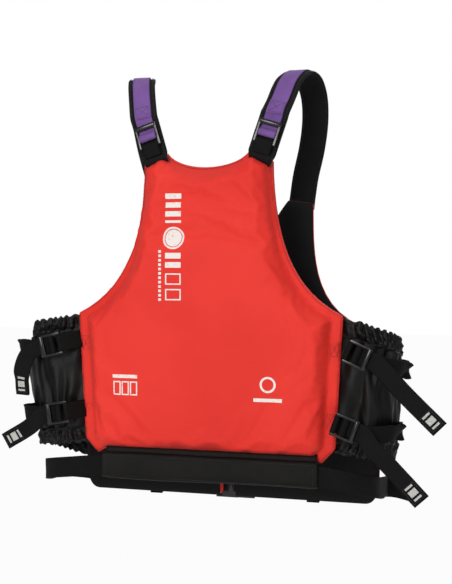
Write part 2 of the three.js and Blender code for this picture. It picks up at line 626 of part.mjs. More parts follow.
function addSleeves(parent) {
  const half = SLEEVE.height / 2;
  addMesh(parent, 'belt_sleeve', sleeve(-SLEEVE.half, SLEEVE.half, BACK_BELT_Y - SLEEVE.depth / 2,
    BACK_BELT_Y + SLEEVE.depth / 2, SLEEVE_Z - half, SLEEVE_Z + half, SLEEVE.wall), BLACK_NYLON);
  const reach = { left: 2 * WEB_THICK + 1.6, right: 3 * WEB_THICK + 4.3 };
  for (const [name, side] of Object.entries(SIDES)) {
    const ends = [KEEPER.x, KEEPER.x + KEEPER.width].map((x) => x * side.sign);
    const tall = BELT_WIDTH / 2 + 4 + KEEPER.wall;
    addMesh(parent, `belt_keeper_${name}`, sleeve(Math.min(...ends), Math.max(...ends),
      PANEL_FACE - KEEPER.wall + 1.6, PANEL_FACE + 1.6 + reach[name] + KEEPER.wall,
      BELT_FRONT_Z + 1.5 - tall, BELT_FRONT_Z + 2.5 + tall, KEEPER.wall), WEBBING);
  }
}

// ---- Side-release buckle --------------------------------------------------------------------

function buckleBlock(x0, x1, depth, z0, z1) {
  return block([x0, BUCKLE_Y - depth / 2, BELT_FRONT_Z + z0],
    [x1, BUCKLE_Y + depth / 2, BELT_FRONT_Z + z1]);
}

function addBuckle(parent) {
  const half = BUCKLE.height / 2;
  const inside = half - BUCKLE.wall - 2;
  const bay = BUCKLE.depth - 2 * BUCKLE.wall;
  const pocketEnd = BUCKLE.mouth - ARM.length - 3;
  const slot = BELT_WIDTH / 2 + 0.7;
  const body = buckleBlock(BUCKLE.femaleStart + 3, BUCKLE.mouth, BUCKLE.depth, -half, half);
  const female = cut(body,
    buckleBlock(pocketEnd, BUCKLE.mouth + 1, bay, -inside, inside),
    buckleBlock(pocketEnd + 3, pocketEnd + 12, bay - 0.6, -half - 1, half + 1),
    buckleBlock(BUCKLE.femaleStart + 8, BUCKLE.femaleStart + 12.4, BUCKLE.depth + 1, -slot, slot),
    buckleBlock(BUCKLE.femaleStart + 2, BUCKLE.femaleStart + 8.1, 2.6, -slot, slot)
      .translate(0, BUCKLE.depth / 2 - 1, 0),
    buckleBlock(BUCKLE.femaleStart + 2, BUCKLE.femaleStart + 8.1, 2.6, -slot, slot)
      .translate(0, 1 - BUCKLE.depth / 2, 0));
  addMesh(parent, 'buckle_female', female, ACETAL);

  const neck = BUCKLE.mouth + SEAM_GAP;
  const plate = buckleBlock(neck, BUCKLE.maleEnd - 3, BUCKLE.depth - 2, -half, half);
  const male = cut(join(plate, buckleBlock(pocketEnd + 4, neck + 1, bay - 0.8, -2.2, 2.2)),
    buckleBlock(BUCKLE.maleEnd - 12.4, BUCKLE.maleEnd - 8, BUCKLE.depth + 1, -slot, slot),
    buckleBlock(BUCKLE.maleEnd - 8.1, BUCKLE.maleEnd, 2.2, -slot, slot)
      .translate(0, BUCKLE.depth / 2 - 1.5, 0),
    buckleBlock(BUCKLE.maleEnd - 8.1, BUCKLE.maleEnd, 2.2, -slot, slot)
      .translate(0, 1.5 - BUCKLE.depth / 2, 0));
  addMesh(parent, 'buckle_male', male, ACETAL);

  for (const [name, sign] of [['upper', 1], ['lower', -1]]) {
    const shape = new THREE.Shape();
    const root = neck - 0.6;
    const tip = root - ARM.length;
    shape.moveTo(root, sign * (ARM.offset - ARM.thick / 2));
    shape.lineTo(root, sign * (ARM.offset + ARM.thick / 2));
    shape.lineTo(tip + 9, sign * (ARM.offset + ARM.thick / 2 + 1));
    shape.lineTo(tip + 7, sign * (inside - 0.3));
    shape.quadraticCurveTo(tip, sign * (inside - 0.6), tip, sign * (ARM.offset - 1));
    shape.lineTo(tip + 6, sign * (ARM.offset - ARM.thick / 2));
    const arm = new THREE.ExtrudeGeometry(shape, {
      depth: ARM.depth, bevelEnabled: false, curveSegments: 5,
    }).rotateX(Math.PI / 2).translate(0, BUCKLE_Y + ARM.depth / 2, BELT_FRONT_Z);
    addMesh(parent, `latch_arm_${name}`, arm, ACETAL);
  }
}

// ---- Zip ------------------------------------------------------------------------------------

// One side of the zip: its woven tape with the row of teeth moulded along the edge.
function zipSide(top, bottom) {
  const tape = block([ZIP.teethOuter - 1, ZIP.y - ZIP.tapeThick / 2, bottom],
    [FRONT.zipHalf - SEAM_GAP, ZIP.y + ZIP.tapeThick / 2, top]);
  const teeth = new THREE.Shape();
  teeth.moveTo(ZIP.teethOuter, bottom + 4);
  teeth.lineTo(ZIP.teethOuter, top - 3);
  for (let z = top - 3; z - ZIP.pitch > bottom + 4; z -= ZIP.pitch) {
    teeth.lineTo(ZIP.tapeInner, z);
    teeth.lineTo(ZIP.tapeInner, z - ZIP.tooth);
    teeth.lineTo(ZIP.tapeInner + 0.9, z - ZIP.tooth);
    teeth.lineTo(ZIP.tapeInner + 0.9, z - ZIP.pitch);
  }
  teeth.lineTo(ZIP.tapeInner + 0.9, bottom + 4);
  const row = new THREE.ExtrudeGeometry(teeth, { depth: ZIP.teethDepth, bevelEnabled: false })
    .rotateX(Math.PI / 2).translate(0, ZIP.y + ZIP.teethDepth / 2, 0);
  return join(tape, row);
}

function addZip(parent) {
  const top = FRONT.neckZ - 2;
  const bottom = FRONT.hemZ + 1;
  for (const [name, side] of Object.entries(SIDES)) {
    const half = new THREE.Group();
    half.scale.x = side.sign;
    addMesh(half, `zip_tape_${name}`, zipSide(top, bottom), BLACK_NYLON);
    parent.add(half);
  }
  const high = top - 6;
  const low = high - ZIP.sliderHeight;
  const near = ZIP.teethDepth / 2 + SEAM_GAP;
  const far = near + ZIP.plate;
  const half = ZIP.sliderWidth / 2;
  const face = ZIP.y + far;
  const slider = join(
    block([-half, ZIP.y + near, low], [half, ZIP.y + far, high]),
    block([-half, ZIP.y - far, low], [half, ZIP.y - near, high]),
    block([-0.5, ZIP.y - near - 0.5, high - 5], [0.5, ZIP.y + near + 0.5, high]),
    block([-1, face - 0.5, low + 2], [1, face + 3.4, low + 3.6]),
    block([-1, face - 0.5, high - 3.6], [1, face + 3.4, high - 2]),
    block([-1, face + 2.2, low + 2], [1, face + 3.4, high - 2]),
  );
  addMesh(parent, 'zip_slider', slider, ZIP_METAL);
  const eye = high - 5.6;
  const wide = ZIP_PULL.width / 2;
  const thick = ZIP_PULL.thick / 2;
  const pullY = face + 1.1;
  const pull = cut(
    block([-wide, pullY - thick, eye + 1.6 - ZIP_PULL.length], [wide, pullY + thick, eye + 1.6]),
    block([-1.4, pullY - 2, eye - 7], [1.4, pullY + 2, eye + 0.6]),
  );
  addMesh(parent, 'zip_pull', pull, ZIP_METAL);
}

// ---- The jacket -----------------------------------------------------------------------------

const jacket = new THREE.Group();
addPanel(jacket, { cover: 'back_cover', foam: 'back_foam', lining: 'back_lining' }, backShape, -1);
for (const [name, side] of Object.entries(SIDES)) {
  const half = new THREE.Group();
  half.scale.x = side.sign;
  addPanel(half, { cover: `front_cover_${name}`, foam: `front_foam_${name}`,
    lining: `front_lining_${name}` }, frontShape, 1);
  addGusset(half, name, side);
  for (const [level, strap] of Object.entries(side.straps)) {
    addSideStrap(half, name, side, level, strap);
  }
  addShoulder(half, name);
  jacket.add(half);
}
addBelt(jacket);
addSleeves(jacket);
addBuckle(jacket);
addZip(jacket);

export default jacket;
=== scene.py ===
"""A red foam life jacket hung as on a wearer's shoulders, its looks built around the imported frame.

Every soft piece is rebuilt from the CAD solid it stands for: webbing from the solid's own cross
sections, panels from the outlines of their foam and lining, gussets from their walls. Metres.
"""
import itertools
import json
import math

import bmesh
import bpy
import numpy as np
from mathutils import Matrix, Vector, noise
from mathutils.geometry import delaunay_2d_cdt


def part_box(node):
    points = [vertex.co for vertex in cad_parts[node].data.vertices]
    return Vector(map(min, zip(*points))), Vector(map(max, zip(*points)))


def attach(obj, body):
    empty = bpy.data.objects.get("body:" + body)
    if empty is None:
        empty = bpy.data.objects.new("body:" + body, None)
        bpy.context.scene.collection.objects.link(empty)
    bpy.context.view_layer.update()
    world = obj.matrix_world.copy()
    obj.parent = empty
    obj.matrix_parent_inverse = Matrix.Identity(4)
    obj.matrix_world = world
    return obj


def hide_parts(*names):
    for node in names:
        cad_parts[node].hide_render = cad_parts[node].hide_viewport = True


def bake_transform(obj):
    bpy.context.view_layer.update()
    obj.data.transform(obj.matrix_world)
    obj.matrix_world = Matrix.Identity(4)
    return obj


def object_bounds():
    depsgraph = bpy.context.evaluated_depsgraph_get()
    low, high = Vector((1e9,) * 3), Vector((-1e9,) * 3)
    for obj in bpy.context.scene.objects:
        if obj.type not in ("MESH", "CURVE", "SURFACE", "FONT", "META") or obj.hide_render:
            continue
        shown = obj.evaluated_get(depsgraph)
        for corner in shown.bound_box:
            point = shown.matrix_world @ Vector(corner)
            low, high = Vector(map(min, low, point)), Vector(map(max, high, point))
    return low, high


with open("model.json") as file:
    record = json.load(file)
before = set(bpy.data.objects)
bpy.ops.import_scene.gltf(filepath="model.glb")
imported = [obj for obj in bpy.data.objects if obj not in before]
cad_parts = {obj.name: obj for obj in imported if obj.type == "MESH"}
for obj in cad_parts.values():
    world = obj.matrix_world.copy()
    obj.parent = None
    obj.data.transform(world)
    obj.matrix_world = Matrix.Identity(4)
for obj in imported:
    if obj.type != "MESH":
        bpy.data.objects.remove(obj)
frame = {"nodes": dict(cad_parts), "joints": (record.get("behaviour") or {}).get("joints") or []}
CAD_BOX = [list(corner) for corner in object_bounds()]
SIDES = {"right": 1, "left": -1}
LEVELS = ("upper", "lower")
SIDE_STRAPS = [f"side_{level}_{side}" for side in SIDES for level in LEVELS]
ADJUSTERS = [f"shoulder_{side}" for side in SIDES] + SIDE_STRAPS
JOINTS = {joint["name"]: joint for joint in frame["joints"]}

# ---- Camera, floor and light ----------------------------------------------------------------

CAMERA_AZIMUTH = 13.0
CAMERA_ELEVATION = 2.0
CAMERA_DISTANCE = 1.30
CAMERA_TARGET = Vector((0.0095, 0.0, -0.3180))
CAMERA_LENS = 53.3
SENSOR_HEIGHT = 36.0     # millimetres, as the lens is
FLOOR_DROP = 0.30        # from the jacket's lowest point
FLOOR_SIZE = 14
FLOOR_GLOW = 0.97        # how white the floor looks to the camera
WORLD_LIGHT = 0.30


def add_camera():
    azimuth, elevation = math.radians(CAMERA_AZIMUTH), math.radians(CAMERA_ELEVATION)
    away = Vector((math.sin(azimuth) * math.cos(elevation),
                   -math.cos(azimuth) * math.cos(elevation), math.sin(elevation)))
    data = bpy.data.cameras.new("camera")
    data.sensor_fit = "VERTICAL"
    data.sensor_height = SENSOR_HEIGHT
    data.lens = CAMERA_LENS
    camera = bpy.data.objects.new("camera", data)
    camera.location = CAMERA_TARGET + away * CAMERA_DISTANCE
    camera.rotation_euler = (-away).to_track_quat("-Z", "Y").to_euler()
    bpy.context.scene.collection.objects.link(camera)
    bpy.context.scene.camera = camera


def add_area(name, location, target, size, power):
    data = bpy.data.lights.new(name, "AREA")
    data.energy = power
    data.shape = "DISK"
    data.size = size
    light = bpy.data.objects.new(name, data)
    light.location = location
    aim = Vector(target) - Vector(location)
    light.rotation_euler = aim.to_track_quat("-Z", "Y").to_euler()
    bpy.context.scene.collection.objects.link(light)


def seen_and_lit(tree, lit, seen, target):
    """One shader for light and reflections, another for what the camera sees directly."""
    path = tree.nodes.new("ShaderNodeLightPath")
    mix = tree.nodes.new("ShaderNodeMixShader")
    tree.links.new(path.outputs["Is Camera Ray"], mix.inputs[0])
    tree.links.new(lit.outputs[0], mix.inputs[1])
    tree.links.new(seen.outputs[0], mix.inputs[2])
    tree.links.new(mix.outputs[0], target)


def add_studio():
    bpy.context.scene.view_settings.view_transform = "Standard"
    world = bpy.data.worlds.new("studio")
    bpy.context.scene.world = world
    world.use_nodes = True
    tree = world.node_tree
    tree.nodes.clear()
    output = tree.nodes.new("ShaderNodeOutputWorld")
    seen = tree.nodes.new("ShaderNodeBackground")
    lit = tree.nodes.new("ShaderNodeBackground")
    seen.inputs["Color"].default_value = (1, 1, 1, 1)
    seen.inputs["Strength"].default_value = 1.0
    lit.inputs["Color"].default_value = (1, 1, 1, 1)
    lit.inputs["Strength"].default_value = WORLD_LIGHT
    seen_and_lit(tree, lit, seen, output.inputs["Surface"])

    middle = (0.0, 0.0, -0.35)     # what every light is aimed at
    add_area("key", (-0.4, -2.3, 0.25), middle, 1.0, 28)
    add_area("fill", (1.9, -1.6, 0.1), middle, 1.4, 8)
    add_area("top", (0.1, -0.3, 1.9), middle, 1.2, 13)
    add_area("behind", (0.6, 2.4, 0.7), middle, 1.6, 14)

    bpy.ops.mesh.primitive_plane_add(size=FLOOR_SIZE, location=(0, 0, CAD_BOX[0][2] - FLOOR_DROP))
    floor = bpy.context.object
    floor.name = "floor"
    material = bpy.data.materials.new("floor")
    material.use_nodes = True
    tree = material.node_tree
    shader = tree.nodes["Principled BSDF"]
    shader.inputs["Base Color"].default_value = (0.88, 0.88, 0.88, 1)
    shader.inputs["Roughness"].default_value = 0.9
    glow = tree.nodes.new("ShaderNodeEmission")
    glow.inputs["Strength"].default_value = FLOOR_GLOW
    seen_and_lit(tree, shader, glow, tree.nodes["Material Output"].inputs["Surface"])
    floor.data.materials.append(material)


# ---- Materials ------------------------------------------------------------------------------

class Nodes:
    """A small helper that writes shader nodes by name and links them."""

    def __init__(self, name):
        self.material = bpy.data.materials.new(name)
        self.material.use_nodes = True
        self.tree = self.material.node_tree
        self.shader = self.tree.nodes["Principled BSDF"]

    def add(self, kind, **settings):
        node = self.tree.nodes.new("ShaderNode" + kind)
        for key, value in settings.items():
            setattr(node, key, value)
        return node

    def link(self, source, target):
        self.tree.links.new(source, target)
        return source

    def math(self, operation, first, second=None):
        node = self.add("Math", operation=operation)
        for socket, value in zip(node.inputs, (first, second)):
            if value is None:
                continue
            if isinstance(value, (int, float)):
                socket.default_value = value
            else:
                self.link(value, socket)
        return node.outputs[0]

    def position(self):
        return self.add("TexCoord").outputs["Object"]

    def attribute(self, name):
        return self.add("Attribute", attribute_name=name).outputs["Fac"]

    def noise(self, scale, detail=3.0, vector=None, roughness=0.5):
        node = self.add("TexNoise")
        node.inputs["Scale"].default_value = scale
        node.inputs["Detail"].default_value = detail
        node.inputs["Roughness"].default_value = roughness
        self.link(vector or self.position(), node.inputs["Vector"])
        return node.outputs["Fac"]

    def ramp(self, value, stops):
        node = self.add("ValToRGB")
        ramp = node.color_ramp
        while len(ramp.elements) < len(stops):
            ramp.elements.new(0.5)
        for element, (place, color) in zip(ramp.elements, stops):
            element.position = place
            element.color = (*color, 1)
        self.link(value, node.inputs[0])
        return node.outputs[0]

    def mix(self, share, first, second):
        node = self.add("Mix", data_type="RGBA")
        for socket, value in ((node.inputs[0], share), (node.inputs[6], first),
                              (node.inputs[7], second)):
            if isinstance(value, (int, float)):
                socket.default_value = value
            elif isinstance(value, tuple):
                socket.default_value = (*value, 1)
            else:
                self.link(value, socket)
        return node.outputs[2]

    def bar(self, x, z, width, height):
        """1 inside an upright rectangle round (x, z) on the surface, seen along Y."""
        split = self.add("SeparateXYZ")
        self.link(self.position(), split.inputs[0])
        sizes = []
        for axis, middle, half in (("X", x, width / 2), ("Z", z, height / 2)):
            away = self.math("ABSOLUTE", self.math("SUBTRACT", split.outputs[axis], middle))
            sizes.append(self.math("SUBTRACT", away, half))
        return self.math("LESS_THAN", self.math("MAXIMUM", *sizes), 0.0)

    def ring(self, x, z, radius, line):
        """1 inside a ring round (x, z) on the surface, seen along Y."""
        split = self.add("SeparateXYZ")
        self.link(self.position(), split.inputs[0])
        squares = [self.math("POWER", self.math("ABSOLUTE", self.math(
            "SUBTRACT", split.outputs[axis], middle)), 2.0) for axis, middle in (("X", x), ("Z", z))]
        reach = self.math("SQRT", self.math("ADD", *squares))
        away = self.math("ABSOLUTE", self.math("SUBTRACT", reach, radius))
        return self.math("LESS_THAN", away, line / 2)

    def all_of(self, masks):
        total = masks[0]
        for mask in masks[1:]:
            total = self.math("MAXIMUM", total, mask)
        return total

    def bump(self, height, strength, distance):
        node = self.add("Bump")
        node.inputs["Strength"].default_value = strength
        node.inputs["Distance"].default_value = distance
        self.link(height, node.inputs["Height"])
        self.link(node.outputs[0], self.shader.inputs["Normal"])

    def finish(self, roughness, sheen=0.0, specular=0.5, sheen_roughness=0.4):
        self.shader.inputs["Roughness"].default_value = roughness
        self.shader.inputs["Specular IOR Level"].default_value = specular
        if sheen:
            self.shader.inputs["Sheen Weight"].default_value = sheen
            self.shader.inputs["Sheen Roughness"].default_value = sheen_roughness
        return self.material


def linear(red, green, blue):
    """A display colour from 0 to 255 as the linear values that shaders take."""
    def one(value):
        value /= 255
        return value / 12.92 if value <= 0.04045 else ((value + 0.055) / 1.055) ** 2.4
    return one(red), one(green), one(blue)


def weave(nodes, pitch):
    """Height of a plain weave seen along Y, from the object's X and Z."""
    split = nodes.add("SeparateXYZ")
    nodes.link(nodes.position(), split.inputs[0])
    turns = 2 * math.pi / pitch
    across = nodes.math("SINE", nodes.math("MULTIPLY", split.outputs["X"], turns))
    up = nodes.math("SINE", nodes.math("MULTIPLY", split.outputs["Z"], turns))
    return nodes.math("MULTIPLY", across, up)


def back_print(nodes):
    """Plain printed bars and rings: a column at the upper left and two small groups low down."""
    masks = [nodes.bar(-0.0460, -0.1800, 0.0230, 0.0075), nodes.bar(-0.0460, -0.1925, 0.0230, 0.0075),
             nodes.bar(-0.0460, -0.2050, 0.0230, 0.0075), nodes.bar(-0.0460, -0.2160, 0.0230, 0.0035),
             nodes.ring(-0.0460, -0.2390, 0.0145, 0.0026), nodes.ring(-0.0460, -0.2390, 0.0060, 0.0120),
             nodes.bar(-0.0460, -0.2640, 0.0230, 0.0080), nodes.bar(-0.0460, -0.2770, 0.0230, 0.0080)]
    masks += [frame_of(nodes, -0.0460, z, 0.0230, 0.0160, 0.0018) for z in (-0.2970, -0.3190)]
    masks += [nodes.bar(-0.0655, -0.2580 - k * 0.0062, 0.0040, 0.0036) for k in range(12)]
    masks += [nodes.bar(-0.1180, -0.4370, 0.0370, 0.0050)]
    masks += [frame_of(nodes, -0.1300 + k * 0.0125, -0.4540, 0.0110, 0.0200, 0.0018) for k in range(3)]
    masks += [nodes.ring(0.0900, -0.4430, 0.0098, 0.0030), nodes.bar(0.0900, -0.4645, 0.0400, 0.0050)]
    return nodes.all_of(masks)


def frame_of(nodes, x, z, width, height, line):
    """The outline of a rectangle."""
    outer = nodes.bar(x, z, width, height)
    inner = nodes.bar(x, z, width - 2 * line, height - 2 * line)
    return nodes.math("SUBTRACT", outer, inner)


def woven_cloth(name, light, dark, roughness, pitch=0.0009, sheen=0.25, bump=0.25, specular=0.3,
                ink=None):
    """Plain woven cloth: thread-scale bump, slow colour drift and a painted highlight on convex creases
    and edges.
    """
    nodes = Nodes(name)
    drift = nodes.noise(7.0, 4.0)
    color = nodes.ramp(drift, [(0.3, dark), (0.68, light)])
    # Painted highlight: convex creases and edges are mixed towards a paler tone.
    highlight_pointiness = nodes.add("NewGeometry").outputs["Pointiness"]
    edge = nodes.ramp(highlight_pointiness, [(0.5, (0, 0, 0)), (0.6, (1, 1, 1))])
    highlight_tone = tuple(min(1.0, value * 1.25 + 0.004) for value in light)
    share = nodes.math("MULTIPLY", edge, 0.35)
    color = nodes.mix(share, color, highlight_tone)
    if ink:
        worn = nodes.ramp(nodes.noise(260.0, 4.0), [(0.30, (0.55, 0.55, 0.55)), (0.42, (1, 1, 1))])
        color = nodes.mix(nodes.math("MULTIPLY", back_print(nodes), worn), color, ink)
    nodes.link(color, nodes.shader.inputs["Base Color"])
    fine = nodes.math("MULTIPLY", weave(nodes, pitch), 0.5)
    slub = nodes.math("MULTIPLY", nodes.noise(900.0, 2.0), 0.6)
    nodes.bump(nodes.math("ADD", fine, slub), bump, 0.0006)
    return nodes.finish(roughness, sheen, specular)


def webbing_material(name, light, dark, rib=0.0016, sheen=0.1):
    """Ribbed nylon webbing: ribs across the strap, cords along it and firm darker selvedges."""
    nodes = Nodes(name)
    along, across = nodes.attribute("along"), nodes.attribute("across")
    ribs = nodes.math("SINE", nodes.math("MULTIPLY", along, 2 * math.pi / rib))
    cords = nodes.math("SINE", nodes.math("MULTIPLY", across, 2 * math.pi * 11))
    chevron = nodes.math("MULTIPLY", ribs, cords)
    middle = nodes.math("ABSOLUTE", across)
    selvedge = nodes.ramp(middle, [(0.44, (0, 0, 0)), (0.49, (1, 1, 1))])
    tone = nodes.math("ADD", nodes.math("MULTIPLY", chevron, 0.16), nodes.noise(30.0, 3.0))
    color = nodes.ramp(tone, [(0.25, dark), (0.75, light)])
    deep = tuple(value * 0.55 for value in dark)
    nodes.link(nodes.mix(nodes.math("MULTIPLY", selvedge, 0.6), color, deep),
               nodes.shader.inputs["Base Color"])
    fuzz = nodes.math("MULTIPLY", nodes.noise(1400.0, 1.0), 0.5)
    nodes.bump(nodes.math("ADD", nodes.math("ADD", ribs, nodes.math("MULTIPLY", cords, 0.6)), fuzz),
               0.35, 0.0004)
    return nodes.finish(0.62, sheen, 0.13, 0.35)


def moulded_plastic(name, base, roughness=0.33):
    """Moulded acetal: faint mould texture, painted highlights in patches on convex edges and a soft
    shine.
    """
    nodes = Nodes(name)
    # Painted highlight: convex edges are mixed in patches towards a paler grey.
    edge_glint_pointiness = nodes.add("NewGeometry").outputs["Pointiness"]
    worn = nodes.ramp(edge_glint_pointiness, [(0.52, (0, 0, 0)), (0.64, (1, 1, 1))])
    highlight_tone = tuple(value * 2.2 + 0.012 for value in base)
    share = nodes.math("MULTIPLY", worn, nodes.noise(260.0, 3.0))
    nodes.link(nodes.mix(share, base, highlight_tone), nodes.shader.inputs["Base Color"])
    nodes.bump(nodes.noise(1500.0, 2.0), 0.10, 0.0003)
    return nodes.finish(roughness, 0.0, 0.5)


def plain_thread(name, color):
    nodes = Nodes(name)
    tone = nodes.noise(700.0, 2.0)
    dark = tuple(value * 0.6 for value in color)
    nodes.link(nodes.ramp(tone, [(0.3, dark), (0.7, color)]), nodes.shader.inputs["Base Color"])
    nodes.bump(nodes.noise(2500.0, 1.0), 0.2, 0.0002)
    return nodes.finish(0.55, 0.2, 0.4)


def zip_alloy(name):
    nodes = Nodes(name)
    worn = nodes.ramp(nodes.noise(420.0, 3.0), [(0.45, linear(34, 34, 36)), (0.8, linear(92, 92, 95))])
    nodes.link(worn, nodes.shader.inputs["Base Color"])
    nodes.shader.inputs["Metallic"].default_value = 0.7
    nodes.bump(nodes.noise(1200.0, 2.0), 0.08, 0.0003)
    return nodes.finish(0.36, 0.0, 0.5)


MATERIALS = {
    "red": woven_cloth("red_nylon", linear(236, 52, 40), linear(224, 42, 32), 0.62, sheen=0.05),
    "red_printed": woven_cloth("red_nylon_printed", linear(236, 52, 40), linear(224, 42, 32), 0.62,
                               sheen=0.05, ink=linear(238, 232, 226)),
    "gusset": woven_cloth("black_nylon", linear(10, 10, 9), linear(5, 5, 5), 0.34,
                          0.0006, 0.0, 0.2, 0.2),
    "sleeve": woven_cloth("sleeve_nylon", linear(25, 24, 22), linear(14, 13, 12), 0.42,
                          0.0010, 0.0, 0.3, 0.12),
    "lining": woven_cloth("lining_cloth", linear(19, 19, 19), linear(12, 12, 12), 0.8,
                          0.0012, 0.03, 0.3, 0.2),
    "pad": woven_cloth("pad_cloth", linear(12, 12, 12), linear(7, 7, 7), 0.72,
                       0.0010, 0.03, 0.3, 0.2),
    "webbing": webbing_material("black_webbing", linear(11, 11, 11), linear(6, 6, 6), sheen=0.01),
    "purple": webbing_material("purple_webbing", linear(128, 90, 160), linear(110, 76, 140), sheen=0.15),
    "plastic": moulded_plastic("acetal", linear(9, 9, 9), 0.24),
    "thread_black": plain_thread("black_thread", linear(26, 26, 26)),
    "thread_red": plain_thread("red_thread", linear(168, 34, 32)),
    "thread_purple": plain_thread("purple_thread", linear(92, 68, 112)),
    "print": plain_thread("grey_print", linear(205, 203, 198)),
    "zip": zip_alloy("zip_alloy"),
}


def waves(x, y, z):
    """Smooth noise between -1 and 1, the same on every run."""
    return noise.noise(Vector((x, y, z)))


# ---- Reading the CAD solids -----------------------------------------------------------------

def cad_mesh(node):
    """A node's solid with its shared corners joined."""
    mesh = bmesh.new()
    mesh.from_mesh(frame["nodes"][node].data)
    bmesh.ops.remove_doubles(mesh, verts=mesh.verts, dist=2e-6)
    mesh.normal_update()
    mesh.verts.index_update()
    mesh.verts.ensure_lookup_table()
    return mesh


def in_order(corners):
    """Corners by number. A set's own order can differ from one run to the next."""
    return sorted(corners, key=lambda vert: vert.index)


def rings_from(cap):
    """Rings of corners, each one edge further from the end cap than the one before."""
    seen, rings = set(cap), [in_order(cap)]
    while True:
        ring = {edge.other_vert(vert) for vert in rings[-1] for edge in vert.link_edges} - seen
        if not ring:
            return rings
        seen |= ring
        rings.append(in_order(ring))


def strip_rings(mesh):
    """The four corners of each cross section of a strap, from one end to the other."""
    far = rings_from([mesh.verts[0]])[-1][0]
    near = rings_from([far])
    close = near[1] + near[2]
    for others in itertools.combinations(close, 3):
        rings = rings_from([far, *others])
        if all(len(ring) == 4 for ring in rings) and 4 * len(rings) == len(mesh.verts):
            return rings
    raise ValueError("no end cap found on a strap")


class Strap:
    """A strap's centre line with its width and outward directions, read from its solid."""

    def __init__(self, node, outward):
        mesh = cad_mesh(node)
        rings = strip_rings(mesh)
        corners = [[np.array(vert.co) for vert in ring] for ring in rings]
        self.centre = np.array([np.mean(ring, axis=0) for ring in corners])
        wide = []
        for ring in corners:
            first = ring[0]
            gaps = sorted((np.linalg.norm(other - first), i) for i, other in enumerate(ring[1:], 1))
            thin, broad = gaps[0], gaps[1]
            self.thick, self.width = thin[0], broad[0]
            side = ring[broad[1]] - first
            if wide and side @ wide[-1] < 0:
                side = -side
            wide.append(side / np.linalg.norm(side))
        self.side = np.array(wide)
        self.orient(np.array(outward, float))
        mesh.free()

    def orient(self, outward):
        """Picks the side direction's sign so that the first cross section faces outward."""
        along = np.gradient(self.centre, axis=0)
        up = np.cross(along[0], self.side[0])
        if up @ outward < 0:
            self.side = -self.side

    def flip(self):
        """The same strap walked from its other end, facing the same way."""
        self.centre = self.centre[::-1].copy()
        self.side = -self.side[::-1].copy()
        return self

    def joined(self, other, gap=1):
        """This strap followed by another one, as a single length of webbing."""
        self.centre = np.vstack([self.centre, other.centre[gap:]])
        self.side = np.vstack([self.side, other.side[gap:]])
        return self


def lengths_along(points):
    """How far each point is along the line through them all."""
    steps = np.linalg.norm(np.diff(points, axis=0), axis=1)
    return np.concatenate([[0], np.cumsum(steps)])


def sampled(wanted, place, table):
    """Rows of a table at the wanted places, between the rows it has."""
    return np.array([np.interp(wanted, place, column) for column in table.T]).T


def catmull(points, count):
    """Points spaced evenly along a smooth curve through the given ones."""
    padded = np.vstack([2 * points[0] - points[1], points, 2 * points[-1] - points[-2]])
    fine = []
    for i in range(1, len(padded) - 2):
        a, b, c, d = padded[i - 1:i + 3]
        for t in np.linspace(0, 1, 8, endpoint=False):
            fine.append(0.5 * (2 * b + (c - a) * t + (2 * a - 5 * b + 4 * c - d) * t * t
                               + (3 * b - a - 3 * c + d) * t ** 3))
    fine.append(points[-1])
    fine = np.array(fine)
    place = lengths_along(fine[:, :3])
    wanted = np.linspace(0, place[-1], count)
    return sampled(wanted, place, fine), wanted


# ---- Mesh builders --------------------------------------------------------------------------

def linked(name, data, material):
    piece = bpy.data.objects.new(name, data)
    bpy.context.scene.collection.objects.link(piece)
    data.materials.append(MATERIALS[material])
    return piece


def make_object(name, verts, faces, material, smooth=True):
    data = bpy.data.meshes.new(name)
    data.from_pydata([tuple(vert) for vert in verts], [], faces)
    data.update()
    piece = linked(name, data, material)
    if smooth:
        data.shade_smooth()
    return piece


def dress(piece, slot, body, *nodes):
    """Gives a piece its body, and hides the solids that it stands for."""
    if nodes:
        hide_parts(*nodes)
    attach(piece, body)


def set_attribute(piece, name, values):
    attribute = piece.data.attributes.new(name, "FLOAT", "POINT")
    attribute.data.foreach_set("value", np.asarray(values, np.float32))


def tube_faces(rings, around, base=0):
    """Faces of a closed tube whose corners run ring by ring from number base on."""
    faces = []
    for ring in range(rings - 1):
        start = base + ring * around
        for k in range(around):
            a, b = start + k, start + (k + 1) % around
            faces.append((a, b, b + around, a + around))
    faces.append(tuple(base + k for k in reversed(range(around))))
    faces.append(tuple(base + (rings - 1) * around + k for k in range(around)))
    return faces


def swept(strap, step):
    """Centres, side and outward directions, and lengths, at even steps along a strap."""
    length = np.linalg.norm(np.diff(strap.centre, axis=0), axis=1).sum()
    count = max(8, int(length / step))
    table, along = catmull(np.hstack([strap.centre, strap.side]), count)
    centre, side = table[:, :3], table[:, 3:]
    forward = np.gradient(centre, axis=0)
    forward /= np.linalg.norm(forward, axis=1)[:, None]
    side -= forward * (side * forward).sum(1)[:, None]
    side /= np.linalg.norm(side, axis=1)[:, None]
    return centre, side, np.cross(forward, side), along


def section(width, thick):
    """Cross section of a strap: flat faces between rounded edges, as (across, out) pairs."""
    half, level = width / 2, thick / 2
    across = [half * share for share in (-0.97, -0.8, -0.4, 0, 0.4, 0.8, 0.97)]
    top = [(x, level) for x in across]
    return [(-half, -level * 0.4), (-half, level * 0.4), *top,
            (half, level * 0.4), (half, -level * 0.4), *[(x, -level) for x in reversed(across)]]


